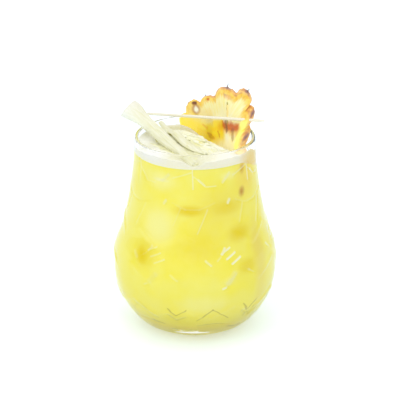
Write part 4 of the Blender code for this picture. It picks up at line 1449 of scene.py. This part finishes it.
# %% Loose sheath
# Places along the strip's middle, in mm: across, back, and up from the ice.
STRIP_LINE = ((-21.0, 25.0, 3.5), (-14.5, 11.5, 1.4), (-7.5, -2, 0.7), (-0.5, -13.5, 0.5), (7, -22.5, 0.2))
STRIP_SIDE = Vector((0.9, 0.42))
STRIP_HALF_WIDTH, STRIP_ARCH, STRIP_THICKNESS, STRIP_WOBBLE = millimetres(3.4, 1.2, 0.7, 0.3)
STRIP_START_WIDTH, STRIP_END_WIDTH = 0.55, 0.4  # times the full width
STRIP_RINGS, STRIP_ROWS = 60, 12


def on_strip(share, across):
    """A place on the strip, from its leaning end, and from -1 to 1 across it."""
    along = share * (len(STRIP_LINE) - 1)
    lines = [[(i, size * MM) for i, size in enumerate(sizes)] for sizes in zip(*STRIP_LINE)]
    x, y, lift = [through(line, along) for line in lines]
    widening = mix(STRIP_START_WIDTH, 1, smoothstep(4 * share))
    narrowing = mix(1, STRIP_END_WIDTH, smoothstep(3 * share - 2))
    side = STRIP_SIDE * (STRIP_HALF_WIDTH * widening * narrowing * across)
    arch = STRIP_ARCH * (1 - across**2)
    wobble = STRIP_WOBBLE * noise.noise((9 * share, 3 * across, 1))
    return Vector((x + side.x, y + side.y, ice_top(x, y) + lift + arch + wobble))


bm = bmesh.new()
top = []
for share in even_parts(1, STRIP_RINGS):
    top.append([bm.verts.new(on_strip(share, part - 1)) for part in even_parts(2, STRIP_ROWS)])
for row, next_row in zip(top, top[1:]):
    for j in range(STRIP_ROWS):
        bm.faces.new((row[j], row[j + 1], next_row[j + 1], next_row[j]))
bmesh.ops.recalc_face_normals(bm, faces=bm.faces)
bmesh.ops.solidify(bm, geom=bm.faces[:], thickness=STRIP_THICKNESS)
bmesh.ops.recalc_face_normals(bm, faces=bm.faces)

add_piece("loose_sheath", bm, stalk_finish, sharp_from=50)

# %% [markdown]
# ## The pick
#
# A pick of milky plastic rests on the back of the rim and runs through the inner flap. It is a turned rod
# with a round end at the left and a blunt point at the right.

# %% Pick
PICK_RADIUS = 0.9 * MM
PICK_OVER_RIM = Vector((-14.4 * MM, 32.4 * MM, GLASS_HEIGHT + PICK_RADIUS + 0.42 * MM))
PICK_IN_SLICE = Vector((33.0 * MM, 5.0 * MM, GLASS_HEIGHT + 7.8 * MM))
PICK_BEFORE_RIM, PICK_PAST_SLICE = millimetres(18, 11)
PICK_POINT, PICK_POINT_RADIUS = millimetres(5, 0.45)
PICK_STEPS, PICK_END_STEPS = 32, 5


def rounded_end(radius, height, direction):
    """A quarter of a circle, from the side of a rod in to its axis."""
    turns = even_parts(math.pi / 2, PICK_END_STEPS)
    return [(radius * math.cos(t), height + direction * radius * math.sin(t)) for t in turns]


along = (PICK_IN_SLICE - PICK_OVER_RIM).normalized()
start = PICK_OVER_RIM - PICK_BEFORE_RIM * along
length = (PICK_IN_SLICE + PICK_PAST_SLICE * along - start).length
left_end = rounded_end(PICK_RADIUS, PICK_RADIUS, -1)
right_end = rounded_end(PICK_POINT_RADIUS, length - PICK_POINT_RADIUS, 1)
bm = bmesh.new()
draw_profile(bm, left_end[::-1] + [(PICK_RADIUS, length - PICK_POINT)] + right_end)
spin_round(bm, PICK_STEPS)
turn = along.to_track_quat("Z", "Y").to_matrix().to_4x4()
bmesh.ops.transform(bm, matrix=Matrix.Translation(start) @ turn, verts=bm.verts)

paint = Finish("milky_plastic", {"Base Color": (250, 246, 226), "IOR": 1.46, "Transmission Weight": 0.1})
scuffs = paint.shared("fibres", paint.place, 0.4 * MM, 6 * MM)
paint.feed("Roughness", paint.rise(scuffs, 0.0, 1.0, 0.05, 0.3))

add_piece("milky_pick", bm, paint.material, ["pick"])

# %% Sizes
low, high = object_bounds()
print("dressed, mm:", [round(v / MM, 1) for v in (*low, *high)])
